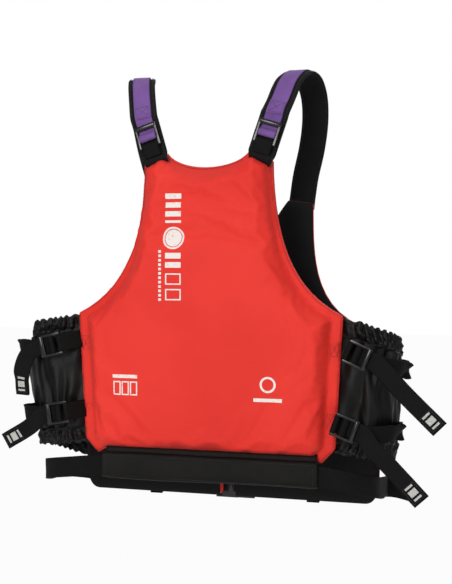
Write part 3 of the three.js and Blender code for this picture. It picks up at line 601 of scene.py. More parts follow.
def webbing(name, strap, material, width=None, thick=None, step=0.0022, wobble=0.0):
    """A strap as one closed mesh with its distances along and across kept for its material."""
    width = width or strap.width
    thick = thick or strap.thick
    centre, side, out, along = swept(strap, step)
    profile = section(width, thick)
    verts, distance, share = [], [], []
    for i in range(len(along)):
        ripple = wobble * waves(along[i] * 28, len(name) * 1.7, 0)
        for x, z in profile:
            curl = wobble * waves(along[i] * 40, x * 60, len(name))
            verts.append(centre[i] + side[i] * x + out[i] * (z + ripple + curl))
            distance.append(along[i])
            share.append(x / width)
    piece = make_object(name, verts, tube_faces(len(along), len(profile)), material)
    set_attribute(piece, "along", distance)
    set_attribute(piece, "across", share)
    piece.data.update()
    recalculate(piece)
    return piece


def recalculate(piece):
    mesh = bmesh.new()
    mesh.from_mesh(piece.data)
    bmesh.ops.recalc_face_normals(mesh, faces=mesh.faces)
    mesh.to_mesh(piece.data)
    mesh.free()


def crisp(name, node, material, bevel=0.00045, segments=3):
    """A moulded piece from its solid, its edges rounded as a mould leaves them."""
    mesh = cad_mesh(node)
    bmesh.ops.dissolve_limit(mesh, angle_limit=math.radians(2), verts=mesh.verts, edges=mesh.edges)
    data = bpy.data.meshes.new(name)
    mesh.to_mesh(data)
    mesh.free()
    piece = linked(name, data, material)
    rounding = piece.modifiers.new("rounding", "BEVEL")
    rounding.width = bevel
    rounding.segments = segments
    rounding.limit_method = "ANGLE"
    rounding.angle_limit = math.radians(28)
    rounding.use_clamp_overlap = True
    rounding.harden_normals = False
    apply_modifiers(piece)
    piece.data.shade_smooth()
    piece.data.set_sharp_from_angle(angle=math.radians(50))
    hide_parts(node)
    return piece


def apply_modifiers(piece):
    graph = bpy.context.evaluated_depsgraph_get()
    data = bpy.data.meshes.new_from_object(piece.evaluated_get(graph))
    piece.modifiers.clear()
    piece.data = data


def stitches(name, runs, material, pitch=0.0034, length=0.0024, radius=0.00042):
    """Threads lying on a surface, along runs of (points, outward directions)."""
    verts, faces = [], []
    for points, outward in runs:
        points, outward = np.asarray(points, float), np.asarray(outward, float)
        place = lengths_along(points)
        for at in np.arange(pitch / 2, place[-1], pitch):
            spot = [sampled(s, place, points) for s in (at - length / 2, at, at + length / 2)]
            up = sampled(at, place, outward)
            up /= max(np.linalg.norm(up), 1e-9)
            run = spot[2] - spot[0]
            span = np.linalg.norm(run)
            if span < 1e-6:
                continue
            run /= span
            side = np.cross(up, run)
            base = len(verts)
            for share, size in ((-0.5, 0.35), (-0.3, 1.0), (0.3, 1.0), (0.5, 0.35)):
                for k in range(6):
                    angle = k * math.pi / 3
                    verts.append(spot[1] + run * (span * share) + up * (radius * 0.35)
                                 + (side * math.cos(angle) + up * math.sin(angle)) * radius * size)
            faces += tube_faces(4, 6, base)
    piece = make_object(name, verts, faces, material)
    recalculate(piece)
    return piece


# ---- Foam panels ----------------------------------------------------------------------------

CROWN_RADIUS = 0.026     # how far in from the seam a panel reaches its full thickness
FLANGE_TOP = 0.0650      # outer face of the flat sewn margin, from the mid plane
LINING_FACE = 0.0558     # where the cover lies on the lining
PANEL_TOP = 0.0905       # outer face of a full panel
PANEL_GRID = 0.0052
ZIP_EDGE = 0.012         # where a front panel meets the zip tape
ZIP_LEVEL = 0.0795
BACK_SHIFT = 0.005       # how far the back outline is moved to the left, and up at the neck
HEM_ROUND = 0.0016       # how much lower a margin is at its very edge
MARGIN_RIPPLE = 0.0022
CLOTH_REACH = 0.0055     # the most that the cloth simulation moves a point of a panel


def outline(node):
    """The XZ corners of a prism-like solid, in order round its rim."""
    mesh = cad_mesh(node)
    level = min(abs(vert.co.y) for vert in mesh.verts) + 0.0003
    flat = [face for face in mesh.faces if all(abs(vert.co.y) < level for vert in face.verts)]
    inside = set(flat)
    rim = {}
    for face in flat:
        for edge in face.edges:
            if sum(other in inside for other in edge.link_faces) == 1:
                first, second = edge.verts
                rim.setdefault(first.index, []).append(second.index)
                rim.setdefault(second.index, []).append(first.index)
    start = next(iter(rim))
    walk = [start, rim[start][0]]
    while True:
        onward = [i for i in rim[walk[-1]] if i != walk[-2]][0]
        if onward == start:
            break
        walk.append(onward)
    points = np.array([[mesh.verts[i].co.x, mesh.verts[i].co.z] for i in walk])
    mesh.free()
    return points


def eased(value, start, end):
    share = np.clip((value - start) / (end - start), 0, 1)
    return share * share * (3 - 2 * share)


def fitted_outline(node):
    """A panel part's outline, the back one moved off its solid's by up to 5 mm.

    The move was fitted to one view from behind. It makes up for the margin, which lies nearer the
    mid plane than the solid's outer face and so looks too far to the right. It isn't how the
    jacket hangs, and the solid doesn't have it.
    """
    points = outline(node)
    if node.startswith("back"):
        x, z = points[:, 0], points[:, 1]
        high = eased(z, -0.24, -0.15)
        right_top = eased(x, 0.0, 0.06) * eased(z, -0.36, -0.22)
        points = np.stack([x - BACK_SHIFT + 0.004 * right_top, z + BACK_SHIFT * high], axis=1)
    return points


def resample_loop(points, pitch):
    closed = np.vstack([points, points[:1]])
    steps = np.linalg.norm(np.diff(closed, axis=0), axis=1)
    result = []
    for a, b, length in zip(closed[:-1], closed[1:], steps):
        parts = max(1, round(length / pitch))
        result += [a + (b - a) * k / parts for k in range(parts)]
    return np.array(result)


def loop_distance(points, loop):
    """Distance from each point to the nearest side of a closed loop."""
    closed = np.vstack([loop, loop[:1]])
    best = np.full(len(points), 1e9)
    for a, b in zip(closed[:-1], closed[1:]):
        run = b - a
        share = np.clip(((points - a) @ run) / max(run @ run, 1e-12), 0, 1)
        best = np.minimum(best, np.linalg.norm(points - a - share[:, None] * run, axis=1))
    return best


def inside_loop(points, loop):
    result = np.zeros(len(points), bool)
    for a, b in zip(loop, np.roll(loop, -1, axis=0)):
        crosses = (a[1] > points[:, 1]) != (b[1] > points[:, 1])
        rise = b[1] - a[1] if abs(b[1] - a[1]) > 1e-12 else 1e-12
        at = a[0] + (points[:, 1] - a[1]) / rise * (b[0] - a[0])
        result ^= crosses & (points[:, 0] < at)
    return result


def offset_loop(points, distance):
    """A loop moved inward by distance, or outward where distance is negative."""
    area = 0.5 * np.sum(points[:, 0] * np.roll(points[:, 1], -1)
                        - np.roll(points[:, 0], -1) * points[:, 1])
    run = np.roll(points, -1, axis=0) - np.roll(points, 1, axis=0)
    run /= np.linalg.norm(run, axis=1)[:, None]
    inward = np.stack([-run[:, 1], run[:, 0]], axis=1) * (1 if area > 0 else -1)
    return points + inward * distance


def fill_loop(rim, seam, grid):
    """Triangles over the area inside rim, with seam as a line they follow."""
    low, high = rim.min(0), rim.max(0)
    rows = np.arange(low[1], high[1], grid * 0.866)
    spots = [(x + (row % 2) * grid / 2, z) for row, z in enumerate(rows)
             for x in np.arange(low[0], high[0], grid)]
    spots = np.array(spots)
    keep = inside_loop(spots, rim) & (loop_distance(spots, rim) > grid * 0.55)
    if seam is not None:
        keep &= loop_distance(spots, seam) > grid * 0.5
    spots = spots[keep]
    loops = [rim] if seam is None else [rim, seam]
    corners, edges = [], []
    for loop in loops:
        base = len(corners)
        corners += [Vector(point) for point in loop]
        edges += [(base + i, base + (i + 1) % len(loop)) for i in range(len(loop))]
    corners += [Vector(point) for point in spots]
    verts, _, faces, _, _, _ = delaunay_2d_cdt(corners, edges, [], 1, 1e-7)
    return np.array([list(vert) for vert in verts]), [tuple(face) for face in faces]


def panel_height(points, rim, seam, facing):
    """Outer surface of a panel: a flat margin that rises over the foam's rounded edge.

    A front panel's margin along the zip stands up to the zip tape's level.
    """
    depth = np.where(inside_loop(points, seam), loop_distance(points, seam), 0.0)
    edge = np.clip(loop_distance(points, rim) / 0.0025, 0, 1)
    rise = np.clip(depth / CROWN_RADIUS, 0, 1)
    round_share = np.sqrt(1 - (1 - rise) ** 2.2)
    margin = FLANGE_TOP - HEM_ROUND * (1 - edge) ** 2
    if facing > 0:
        beside_zip = 1 - np.clip((np.abs(points[:, 0]) - ZIP_EDGE) / 0.012, 0, 1)
        margin = margin + (ZIP_LEVEL - margin) * beside_zip
    return margin + (PANEL_TOP - 0.0016 - margin) * round_share, depth


def relax_cloth(piece, pinned, growth, pressure, frames, bending=0.4, stiffness=14.0,
                gravity=0.0, mass=0.25):
    """Lets a pinned sheet with spare cloth settle, and returns its corners."""
    group = piece.vertex_groups.new(name="pinned")
    for index, weight in enumerate(pinned):
        if weight > 0.001:
            group.add([index], float(weight), "REPLACE")
    cloth = piece.modifiers.new("cloth", "CLOTH")
    settings = cloth.settings
    settings.quality = 6
    settings.mass = mass
    settings.tension_stiffness = stiffness
    settings.compression_stiffness = stiffness
    settings.shear_stiffness = 6.0
    settings.bending_stiffness = bending
    settings.air_damping = 3.0
    settings.vertex_group_mass = "pinned"
    settings.shrink_min = -growth
    settings.effector_weights.gravity = gravity
    settings.use_pressure = pressure > 0
    settings.uniform_pressure_force = pressure
    cloth.collision_settings.use_collision = False
    cloth.collision_settings.use_self_collision = False
    cloth.point_cache.frame_start = 1
    cloth.point_cache.frame_end = frames
    scene = bpy.context.scene
    for number in range(1, frames + 1):
        scene.frame_set(number)
    graph = bpy.context.evaluated_depsgraph_get()
    settled = piece.evaluated_get(graph)
    result = np.array([list(vert.co) for vert in settled.data.vertices])
    piece.modifiers.clear()
    scene.frame_set(1)
    return result


def limited(offset, most):
    """Offsets kept under a length, easing into it instead of cutting off."""
    size = np.linalg.norm(offset, axis=1)
    scale = np.where(size > 1e-9, most * np.tanh(size / most) / np.maximum(size, 1e-9), 1)
    return offset * scale[:, None]


def add_panel(name, facing, material, seed):
    rim = resample_loop(fitted_outline(lining_of(name)), PANEL_GRID)
    seam = resample_loop(fitted_outline(foam_of(name)), PANEL_GRID)
    flat, faces = fill_loop(rim, seam, PANEL_GRID)
    height, depth = panel_height(flat, rim, seam, facing)
    soft = np.clip(depth / 0.02, 0, 1)
    dents = np.array([waves(x * 9, z * 9, seed) for x, z in flat])
    ripples = np.array([waves(x * 34, z * 34, seed + 5) for x, z in flat])
    height = height + soft * (dents * 0.0022) + np.clip(depth / 0.006, 0, 1) * np.exp(
        -depth / 0.03) * ripples * MARGIN_RIPPLE
    margin_pull = np.array([waves(x * 46, z * 46, seed + 21) for x, z in flat])
    height = height + np.where(depth <= 0, 1.0, 0.0) * np.clip(margin_pull, -0.1, 1) * MARGIN_RIPPLE
    verts = np.stack([flat[:, 0], facing * height, flat[:, 1]], axis=1)
    surface = make_object(f"{name}_surface", verts, faces, material)
    recalculate(surface)
    if facing * sum(face.normal.y * face.area for face in surface.data.polygons) < 0:
        surface.data.flip_normals()
    pins = np.where(depth < 0.0008, 1.0, 0.0)
    settled = relax_cloth(surface, pins, 0.028, 1.6, 26, bending=0.25, stiffness=10.0)
    move = limited(settled - verts, CLOTH_REACH)
    verts = verts + move
    verts[:, 1] = facing * np.clip(facing * verts[:, 1], FLANGE_TOP - HEM_ROUND, PANEL_TOP + 0.0030)
    faces = [tuple(face.vertices) for face in surface.data.polygons]
    bpy.data.objects.remove(surface)
    closed, shell = close_over(verts, faces, facing * LINING_FACE)
    piece = make_object(f"{name}_cover_sewn", closed, shell, material)
    recalculate(piece)
    subdivide(piece)
    dress(piece, "red_nylon", "root", cover_of(name), foam_of(name))
    add_lining(name, facing, rim, seed)
    add_panel_seams(name, facing, rim, seam)
    return piece


def cover_of(name):
    return "back_cover" if name == "back" else name.replace("front_", "front_cover_")


def foam_of(name):
    return cover_of(name).replace("cover", "foam")


def lining_of(name):
    return cover_of(name).replace("cover", "lining")


def close_over(verts, faces, base):
    """Closes a sheet into a solid with a flat back at y = base."""
    count = len(verts)
    under = verts.copy()
    under[:, 1] = base
    edges = {}
    for face in faces:
        for a, b in zip(face, face[1:] + face[:1]):
            edges[(a, b)] = edges.get((a, b), 0) + 1
    rim = [(a, b) for a, b in edges if (b, a) not in edges]
    walls = [(b, a, a + count, b + count) for a, b in rim]
    back = [tuple(i + count for i in reversed(face)) for face in faces]
    return np.vstack([verts, under]), faces + back + walls


def subdivide(piece, levels=1):
    modifier = piece.modifiers.new("smooth", "SUBSURF")
    modifier.levels = levels
    modifier.render_levels = levels
    apply_modifiers(piece)
    piece.data.shade_smooth()


def add_lining(name, facing, rim, seed):
    """The inner fabric: a thin closed sheet with soft quilting between its edges."""
    inner = offset_loop(rim, 0.0006)
    flat, faces = fill_loop(inner, None, 0.009)
    edge = np.clip(loop_distance(flat, inner) / 0.02, 0, 1)
    soft = np.array([waves(x * 22, z * 22, seed + 9) for x, z in flat])
    depth = 0.0547 - edge * (0.0016 + soft * 0.0024)
    near = np.stack([flat[:, 0], facing * (depth + 0.0006), flat[:, 1]], axis=1)
    far = np.stack([flat[:, 0], facing * (depth - 0.0006), flat[:, 1]], axis=1)
    closed, shell = close_over(near, faces, 0)
    closed[len(near):] = far
    piece = make_object(f"{name}_lining_sewn", closed, shell, "lining")
    recalculate(piece)
    dress(piece, "lining", "root", lining_of(name))


def seam_run(loop, facing, height):
    points = [(x, facing * height, z) for x, z in np.vstack([loop, loop[:1]])]
    return points, [(0, facing, 0)] * len(points)


def add_panel_seams(name, facing, rim, seam):
    """The line of stitches that holds the foam in, and the one along the outer edge."""
    runs = [seam_run(offset_loop(seam, -0.0016), facing, FLANGE_TOP),
            seam_run(offset_loop(rim, 0.0028), facing, FLANGE_TOP)]
    piece = stitches(f"{name}_seam_thread", runs, "thread_red", pitch=0.0042, length=0.003)
    dress(piece, "red_nylon", "root")


# ---- Side gussets ---------------------------------------------------------------------------

GUSSET_ACROSS = 150
GUSSET_UP = 26
TUCK_COLUMNS = 18        # of the gusset's stations, the ones that bend in to the panel's margin
TUCK_LEVEL = 0.0548


def gusset_rows(node):
    """Three rows of (inner, outer) points from the back edge to the front edge of a gusset layer."""
    mesh = cad_mesh(node)
    sign = 1 if node.endswith("right") else -1
    cap = [face for face in mesh.faces
           if face.normal.x * sign < -0.8 and face.calc_center_median().y < -0.05]
    start = {vert for face in cap for vert in face.verts}
    rings = rings_from(start)
    stations = []
    for ring in rings:
        points = sorted((np.array(vert.co) for vert in ring), key=lambda point: -point[2])
        rows = []
        for pair in grouped_rows(points):
            pair = sorted(pair, key=lambda p: abs(p[1] / 0.075) ** 2.2 + abs(p[0] / 0.28) ** 2.2)
            rows.append((pair[0], pair[-1]))
        stations.append(rows)
    mesh.free()
    return stations


def grouped_rows(points):
    """Eight points of one station as four rows of two, from the top down."""
    return [points[i:i + 2] for i in range(0, 8, 2)]


def gusset_sheet(side):
    """Middle surface of a gusset, rows from its top hem to its bottom hem."""
    lines = []
    for node in (f"gusset_elastic_top_{side}", f"gusset_{side}", f"gusset_elastic_bottom_{side}"):
        stations = gusset_rows(node)
        for row in range(4):
            middle = np.array([(rows[row][0] + rows[row][1]) / 2 for rows in stations])
            lines.append(catmull(middle, GUSSET_ACROSS)[0])
    return np.array(lines)


def rim_reach(rim, sign, z):
    """How far out a panel's edge is at a height, on one side of the jacket."""
    crossings = []
    for a, b in zip(rim, np.roll(rim, -1, axis=0)):
        if (a[1] - z) * (b[1] - z) <= 0 and abs(a[1] - b[1]) > 1e-9:
            crossings.append(sign * (a[0] + (z - a[1]) / (b[1] - a[1]) * (b[0] - a[0])))
    return max(crossings) if crossings else None


def tuck_in(grid, side):
    """Leads both ends of a gusset behind the margins of the panels that they are sewn to."""
    sign = SIDES[side]
    rims = ((0, -1, fitted_outline("back_lining")), (-1, 1, fitted_outline(f"front_lining_{side}")))
    for column, facing, rim in rims:
        for row in grid:
            reach = rim_reach(rim, sign, row[column][2])
            if reach is None:
                continue
            target = np.array([sign * (reach - 0.006), facing * TUCK_LEVEL, row[column][2]])
            move = target - row[column]
            for step in range(TUCK_COLUMNS):
                share = step / TUCK_COLUMNS
                row[step if column == 0 else -1 - step] += move * (1 - share) ** 2 * (1 + 2 * share)


def pleats(u, v, seed):
    """Height of the gathers: tight under the elastic hems, wide and slack between them."""
    near = np.exp(-((v - 0.13) / 0.10) ** 2) + np.exp(-((v - 0.87) / 0.10) ** 2)
    near = min(1.0, near)
    middle = math.sin(math.pi * v) ** 0.7
    drift = waves(u * 4, v * 2.5, seed)
    tight = math.sin(2 * math.pi * (u * 21 + drift * 1.4))
    wide = math.sin(2 * math.pi * (u * 7 + drift * 1.6 + 0.8 * math.sin(v * 4 + seed)))
    fold = 1 - abs(waves(u * 9 - v * 6, v * 4 + u * 3, seed + 3)) * 2.4
    cross = waves(u * 14 + v * 7, v * 9 - u * 5, seed + 7)
    crease = 0.8 * fold + 0.7 * cross
    hem = 0.0011 * math.sin(2 * math.pi * (u * 30 + drift)) * math.exp(-(min(v, 1 - v) / 0.07) ** 2)
    return 0.0024 * near * tight + 0.0026 * middle * wide * (0.6 + 0.4 * drift) \
        + 0.0036 * middle * crease + hem


def ruffle(u, v, seed):
    """How far the gathered hems wave up and down."""
    drift = waves(u * 6, 0.5, seed + 2)
    hem = math.exp(-(min(v, 1 - v) / 0.05) ** 2)
    return 0.0017 * hem * math.sin(2 * math.pi * (u * 17 + 1.3 * drift))


def add_gusset(side, seed):
    lines = gusset_sheet(side)
    places = np.linspace(0, 1, len(lines))
    rows = GUSSET_UP * 5
    wanted = np.linspace(0, 1, rows)
    grid = np.empty((rows, GUSSET_ACROSS, 3))
    for column in range(GUSSET_ACROSS):
        for axis in range(3):
            grid[:, column, axis] = np.interp(wanted, places, lines[:, column, axis])
    for _ in range(6):
        grid[1:-1] = (grid[:-2] + 2 * grid[1:-1] + grid[2:]) / 4
    tuck_in(grid, side)
    normal = np.cross(np.gradient(grid, axis=1), np.gradient(grid, axis=0))
    normal /= np.linalg.norm(normal, axis=2)[:, :, None]
    if (normal[:, GUSSET_ACROSS // 2, 0].mean() < 0) == (side == "right"):
        normal = -normal
    sheet = grid.copy()
    for r in range(rows):
        for c in range(GUSSET_ACROSS):
            u, v = c / (GUSSET_ACROSS - 1), r / (rows - 1)
            ends = min(1.0, min(u, 1 - u) / 0.06)
            sheet[r, c] += normal[r, c] * pleats(u, v, seed) * ends
            sheet[r, c, 2] += ruffle(u, v, seed) * ends
    verts = sheet.reshape(-1, 3)
    faces = [(r * GUSSET_ACROSS + c, r * GUSSET_ACROSS + c + 1,
              (r + 1) * GUSSET_ACROSS + c + 1, (r + 1) * GUSSET_ACROSS + c)
             for r in range(rows - 1) for c in range(GUSSET_ACROSS - 1)]
    piece = make_object(f"gusset_{side}_gathered", verts, faces, "gusset")
    thicken = piece.modifiers.new("thickness", "SOLIDIFY")
    thicken.thickness = 0.0016
    thicken.offset = 0
    apply_modifiers(piece)
    recalculate(piece)
    piece.data.shade_smooth()
    dress(piece, "black_nylon", "root", f"gusset_{side}", f"gusset_elastic_top_{side}",
          f"gusset_elastic_bottom_{side}")
    add_gusset_hems(side, sheet, normal)


def add_gusset_hems(side, sheet, normal):
    """Stitch rows along the elastic channels at the top and bottom."""
    rows = len(sheet)
    runs = []
    for share in (0.03, 0.10, 0.17, 0.83, 0.90, 0.97):
        row = int(share * (rows - 1))
        runs.append((sheet[row, 3:-3] + normal[row, 3:-3] * 0.0009, normal[row, 3:-3]))
    piece = stitches(f"gusset_{side}_thread", runs, "thread_black", pitch=0.0038)
    dress(piece, "elastic", "root")


# ---- Straps and their hardware --------------------------------------------------------------

FOLD_THICK = 0.0014      # of webbing doubled over itself
FOLD_SHARE = 0.985       # the fold's width, as a share of the strap's under it


def chained(first, second):
    """Two straps as one, each turned so that the first one's end meets the second one's start."""
    gaps = {(a, b): np.linalg.norm(first.centre[a] - second.centre[b])
            for a in (0, -1) for b in (0, -1)}
    near = min(gaps, key=gaps.get)
    if near[0] == 0:
        first.flip()
    if near[1] == -1:
        second.flip()
    if first.side[-1] @ second.side[0] < 0:
        second.side = -second.side
    return first.joined(second)


def like(strap, centre, side):
    """A strap of the same webbing along another line."""
    part = object.__new__(Strap)
    part.width, part.thick = strap.width, strap.thick
    part.centre, part.side = centre, side
    return part


def sub_strap(strap, start, end):
    """The part of a strap between two lengths along it; negative ones count from its end."""
    place = lengths_along(strap.centre)
    total = place[-1]
    start, end = (value if value >= 0 else total + value for value in (start, end))
    wanted = np.linspace(start, end, max(4, int((end - start) / 0.004)))
    return like(strap, sampled(wanted, place, strap.centre), sampled(wanted, place, strap.side))


def facing_out(strap, outward):
    """Directions out of a strap's face at each of its points, on the side nearest outward."""
    forward = np.gradient(strap.centre, axis=0)
    up = np.cross(forward, strap.side)
    up /= np.linalg.norm(up, axis=1)[:, None]
    return up * (1 if up.mean(0) @ np.array(outward, float) > 0 else -1)


def raised(strap, outward, lift):
    """A strap's copy, lifted off its face towards outward."""
    return like(strap, strap.centre + facing_out(strap, outward) * lift, strap.side)


def box_stitch(name, strap, start, end, outward, material):
    """A box with a cross in it, sewn through the strap between two lengths along it."""
    part = sub_strap(strap, start, end)
    up = facing_out(part, outward)
    lift = part.centre + up * (part.thick / 2)
    half = part.width / 2 - 0.003
    share = np.linspace(-1, 1, len(lift))[:, None]
    left, right = lift - part.side * half, lift + part.side * half
    runs = [(left, up), (right, up), (lift + part.side * half * share, up),
            (lift - part.side * half * share, up),
            (np.array([left[0], right[0]]), up[[0, 0]]),
            (np.array([left[-1], right[-1]]), up[[-1, -1]])]
    piece = stitches(name, runs, material, pitch=0.0032, length=0.0024)
    return piece


def add_anchor(name):
    """The loop of webbing that holds an adjuster's lock to the back panel."""
    anchor = Strap(f"{name}_anchor", (0, -1, 0))
    loop = webbing(f"{name}_anchor_sewn", anchor, "webbing", step=0.0012)
    dress(loop, "webbing", "root", f"{name}_anchor")


def add_tail_hem(body, strap, reach, sewn, outward):
    """The doubled, sewn end of a free tail; reach and sewn are how far back each starts."""
    hem = raised(sub_strap(strap, -reach, -0.001), (0, 1, 0), 0.0015)
    doubled = webbing(f"{body}_hem", hem, "webbing", width=strap.width * FOLD_SHARE,
                      thick=FOLD_THICK)
    dress(doubled, "webbing", body)
    thread = box_stitch(f"{body}_thread", strap, -sewn, -0.004, outward, "thread_black")
    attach(thread, body)


def add_side_strap(name):
    strap = chained(Strap(f"{name}_turn", (0, -1, 0)), Strap(f"{name}_strap", (0, -1, 0)))
    piece = webbing(f"{name}_strap_sewn", strap, "webbing", wobble=0.0007)
    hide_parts(f"{name}_turn", f"{name}_strap")
    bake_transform(piece)

    add_anchor(name)

    tail = Strap(f"{name}_tail", (0, -1, 0))
    bar = np.array(JOINTS[f"{name}_lock_tilt"]["pos_m"])
    if np.linalg.norm(tail.centre[0] - bar) > np.linalg.norm(tail.centre[-1] - bar):
        tail.flip()
    free = webbing(f"{name}_tail_sewn", tail, "webbing", wobble=0.0006)
    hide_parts(f"{name}_tail")
    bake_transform(free)
    add_tail_hem(f"{name}_tail", tail, 0.030, 0.028, (0, -1, 0))
    add_tail_marks(name, tail)
    add_margin_stitch(name)


def add_margin_stitch(name):
    """The crossed box of stitches that holds a side adjuster's loop on the back panel's margin."""
    sign = 1 if name.endswith("right") else -1
    rim = fitted_outline("back_lining")
    z = JOINTS[f"{name}_lock_tilt"]["pos_m"][2]
    runs = []
    corners = []
    for height in (z - 0.010, z + 0.010):
        reach = rim_reach(rim, sign, height)
        corners.append([(sign * (reach - inset), -FLANGE_TOP, height) for inset in (0.0045, 0.0145)])
    (a, b), (c, d) = corners
    for line in ((a, b), (c, d), (a, c), (b, d), (a, d), (b, c)):
        runs.append((line, [(0, -1, 0)] * 2))
    thread = stitches(f"{name}_margin_thread", runs, "thread_red", pitch=0.0036, length=0.0026)
    dress(thread, "red_nylon", "root")


def add_tail_marks(name, tail):
    """Plain woven bars near a tail's free end."""
    for number, (start, end) in enumerate(((-0.027, -0.024), (-0.021, -0.012), (-0.009, -0.006))):
        part = raised(sub_strap(tail, start, end), (0, -1, 0), tail.thick / 2 + 0.0006)
        mark = webbing(f"{name}_tail_mark_{number}", part, "print", width=tail.width * 0.5,
                       thick=0.0007, step=0.001)
        dress(mark, "webbing", f"{name}_tail")


def add_lock(name):
    piece = crisp(f"{name}_lock_moulded", f"{name}_lock", "plastic", bevel=0.0005)
    dress(piece, "acetal", f"{name}_lock")


def led_on(strap, moves):
    """A strap carried on past its last point by some moves, in millimetres."""
    for move in moves:
        strap.centre = np.vstack([strap.centre, strap.centre[-1] + np.array(move) / 1000])
        strap.side = np.vstack([strap.side, strap.side[-1]])
    return strap


def back_to_front(strap):
    return strap if strap.centre[0][1] < strap.centre[-1][1] else strap.flip()


def add_shoulder(side):
    name, sign = f"shoulder_{side}", SIDES[side]
    into_front = [(0, -5, -6), (0, -6, -8)]
    into_back = [(-3 * sign, 6, -7), (-2 * sign, 7, -7), (-2 * sign, 4, -7)]
    strap = chained(Strap(f"{name}_turn", (0, -1, 0)), Strap(f"shoulder_webbing_{side}", (0, 0, 1)))
    led_on(strap, into_front)
    piece = webbing(f"{name}_webbing_sewn", strap, "purple", wobble=0.0004)
    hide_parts(f"{name}_turn", f"shoulder_webbing_{side}")
    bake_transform(piece)

    add_webbing_fold(name, strap)

    add_anchor(name)

    pad = led_on(back_to_front(Strap(f"shoulder_pad_{side}", (0, 0, 1))), into_front)
    pad = led_on(pad.flip(), into_back).flip()
    body = soft_strap(f"shoulder_pad_{side}_sewn", pad, "pad")
    dress(body, "pad_fabric", "root", f"shoulder_pad_{side}")
    runs = []
    for share in (-0.42, 0.42):
        for facing in ((0, -0.3, 1), (0, 0.3, -1)):
            up = facing_out(pad, (0, 0, 1)) * (1 if facing[2] > 0 else -1)
            runs.append((pad.centre + pad.side * pad.width * share + up * (pad.thick / 2), up))
    thread = stitches(f"shoulder_pad_{side}_thread", runs, "thread_black", pitch=0.004)
    dress(thread, "pad_fabric", "root")


def add_webbing_fold(name, strap):
    """The doubled, sewn-down stretch of purple webbing just above a shoulder adjuster."""
    bar = np.array(JOINTS[f"{name}_lock_tilt"]["pos_m"])
    place = lengths_along(strap.centre)
    away = np.linalg.norm(strap.centre - bar, axis=1)
    start = next(place[i] for i in range(len(place)) if away[i] > 0.041 and place[i] > 0.02)
    part = sub_strap(strap, start, start + 0.022)
    lifted = raised(part, (0, -1, 0.4), FOLD_THICK)
    lifted.thick = FOLD_THICK
    fold = webbing(f"{name}_webbing_fold", lifted, "purple", width=strap.width * FOLD_SHARE,
                   thick=FOLD_THICK, step=0.0015)
    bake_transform(fold)
    thread = box_stitch(f"{name}_webbing_fold_thread", lifted, 0.002, 0.020, (0, -1, 0.4),
                        "thread_purple")
    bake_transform(thread)


PAD_STEP = 0.0025


def soft_strap(name, strap, material, narrow=0.7, over=0.034):
    """A padded strap: full in the middle, pressed flat along its stitched edges.

    It narrows over its first stretch, where it is sewn into a panel's tab.
    """
    centre, side, out, along = swept(strap, PAD_STEP)
    half, level = strap.width / 2, strap.thick / 2
    across = np.array([-1, -0.96, -0.88, -0.84, -0.8, -0.6, -0.3, 0, 0.3, 0.6, 0.8, 0.84, 0.88, 0.96, 1])
    lift = np.array([0.35, 0.62, 0.62, 0.5, 0.62, 0.92, 1.0, 1.0, 1.0, 0.92, 0.62, 0.5, 0.62, 0.62,
                     0.35])
    profile = [(x * half, z * level) for x, z in zip(across, lift)]
    profile += [(x * half, -z * level) for x, z in reversed(list(zip(across, lift)))]
    verts = []
    for i in range(len(along)):
        squeeze = np.interp(along[i], (over * 0.4, over), (narrow, 1.0))
        for x, z in profile:
            x = x * squeeze
            ripple = 0.0005 * waves(along[i] * 60, x * 90, len(name))
            verts.append(centre[i] + side[i] * x + out[i] * (z + ripple))
    piece = make_object(name, verts, tube_faces(len(along), len(profile)), material)
    recalculate(piece)
    return piece


# ---- Waist belt, sleeve and buckle ----------------------------------------------------------

def add_belt():
    belt = webbing("waist_belt_sewn", Strap("waist_belt", (0, 0, 1)), "webbing", wobble=0.0005)
    dress(belt, "webbing", "root", "waist_belt")

    front = webbing("belt_front_sewn", Strap("belt_front", (0, 0, 1)), "webbing", wobble=0.0004)
    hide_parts("belt_front")
    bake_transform(front)

    strap = Strap("belt_tail", (0, 0, 1))
    if abs(strap.centre[0][0]) > abs(strap.centre[-1][0]):
        strap.flip()
    tail = webbing("belt_tail_sewn", strap, "webbing", wobble=0.0004)
    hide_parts("belt_tail")
    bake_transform(tail)
    add_tail_hem("belt_tail", strap, 0.032, 0.029, (0, 1, 0))


def add_keeper(side):
    node = f"belt_keeper_{side}"
    piece = crisp(f"{node}_sewn", node, "webbing", bevel=0.0006)
    along = [vert.co.z for vert in piece.data.vertices]
    middle = sum(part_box(node)[k].x for k in (0, 1)) / 2
    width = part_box(node)[1].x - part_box(node)[0].x
    set_attribute(piece, "along", along)
    set_attribute(piece, "across", [(vert.co.x - middle) / width for vert in piece.data.vertices])
    dress(piece, "webbing", "root")


def tube_profile(depth, height, count):
    """Rounded rectangle in (y, z), one point after another round it."""
    result = []
    for k in range(count):
        angle = 2 * math.pi * k / count
        c, s = math.cos(angle), math.sin(angle)
        power = 2 / 3.2
        result.append((math.copysign(abs(c) ** power, c) * depth / 2,
                       math.copysign(abs(s) ** power, s) * height / 2))
    return result


SLEEVE_FLAP = 0.009      # how far the sleeve's sewn edge reaches up behind the hem


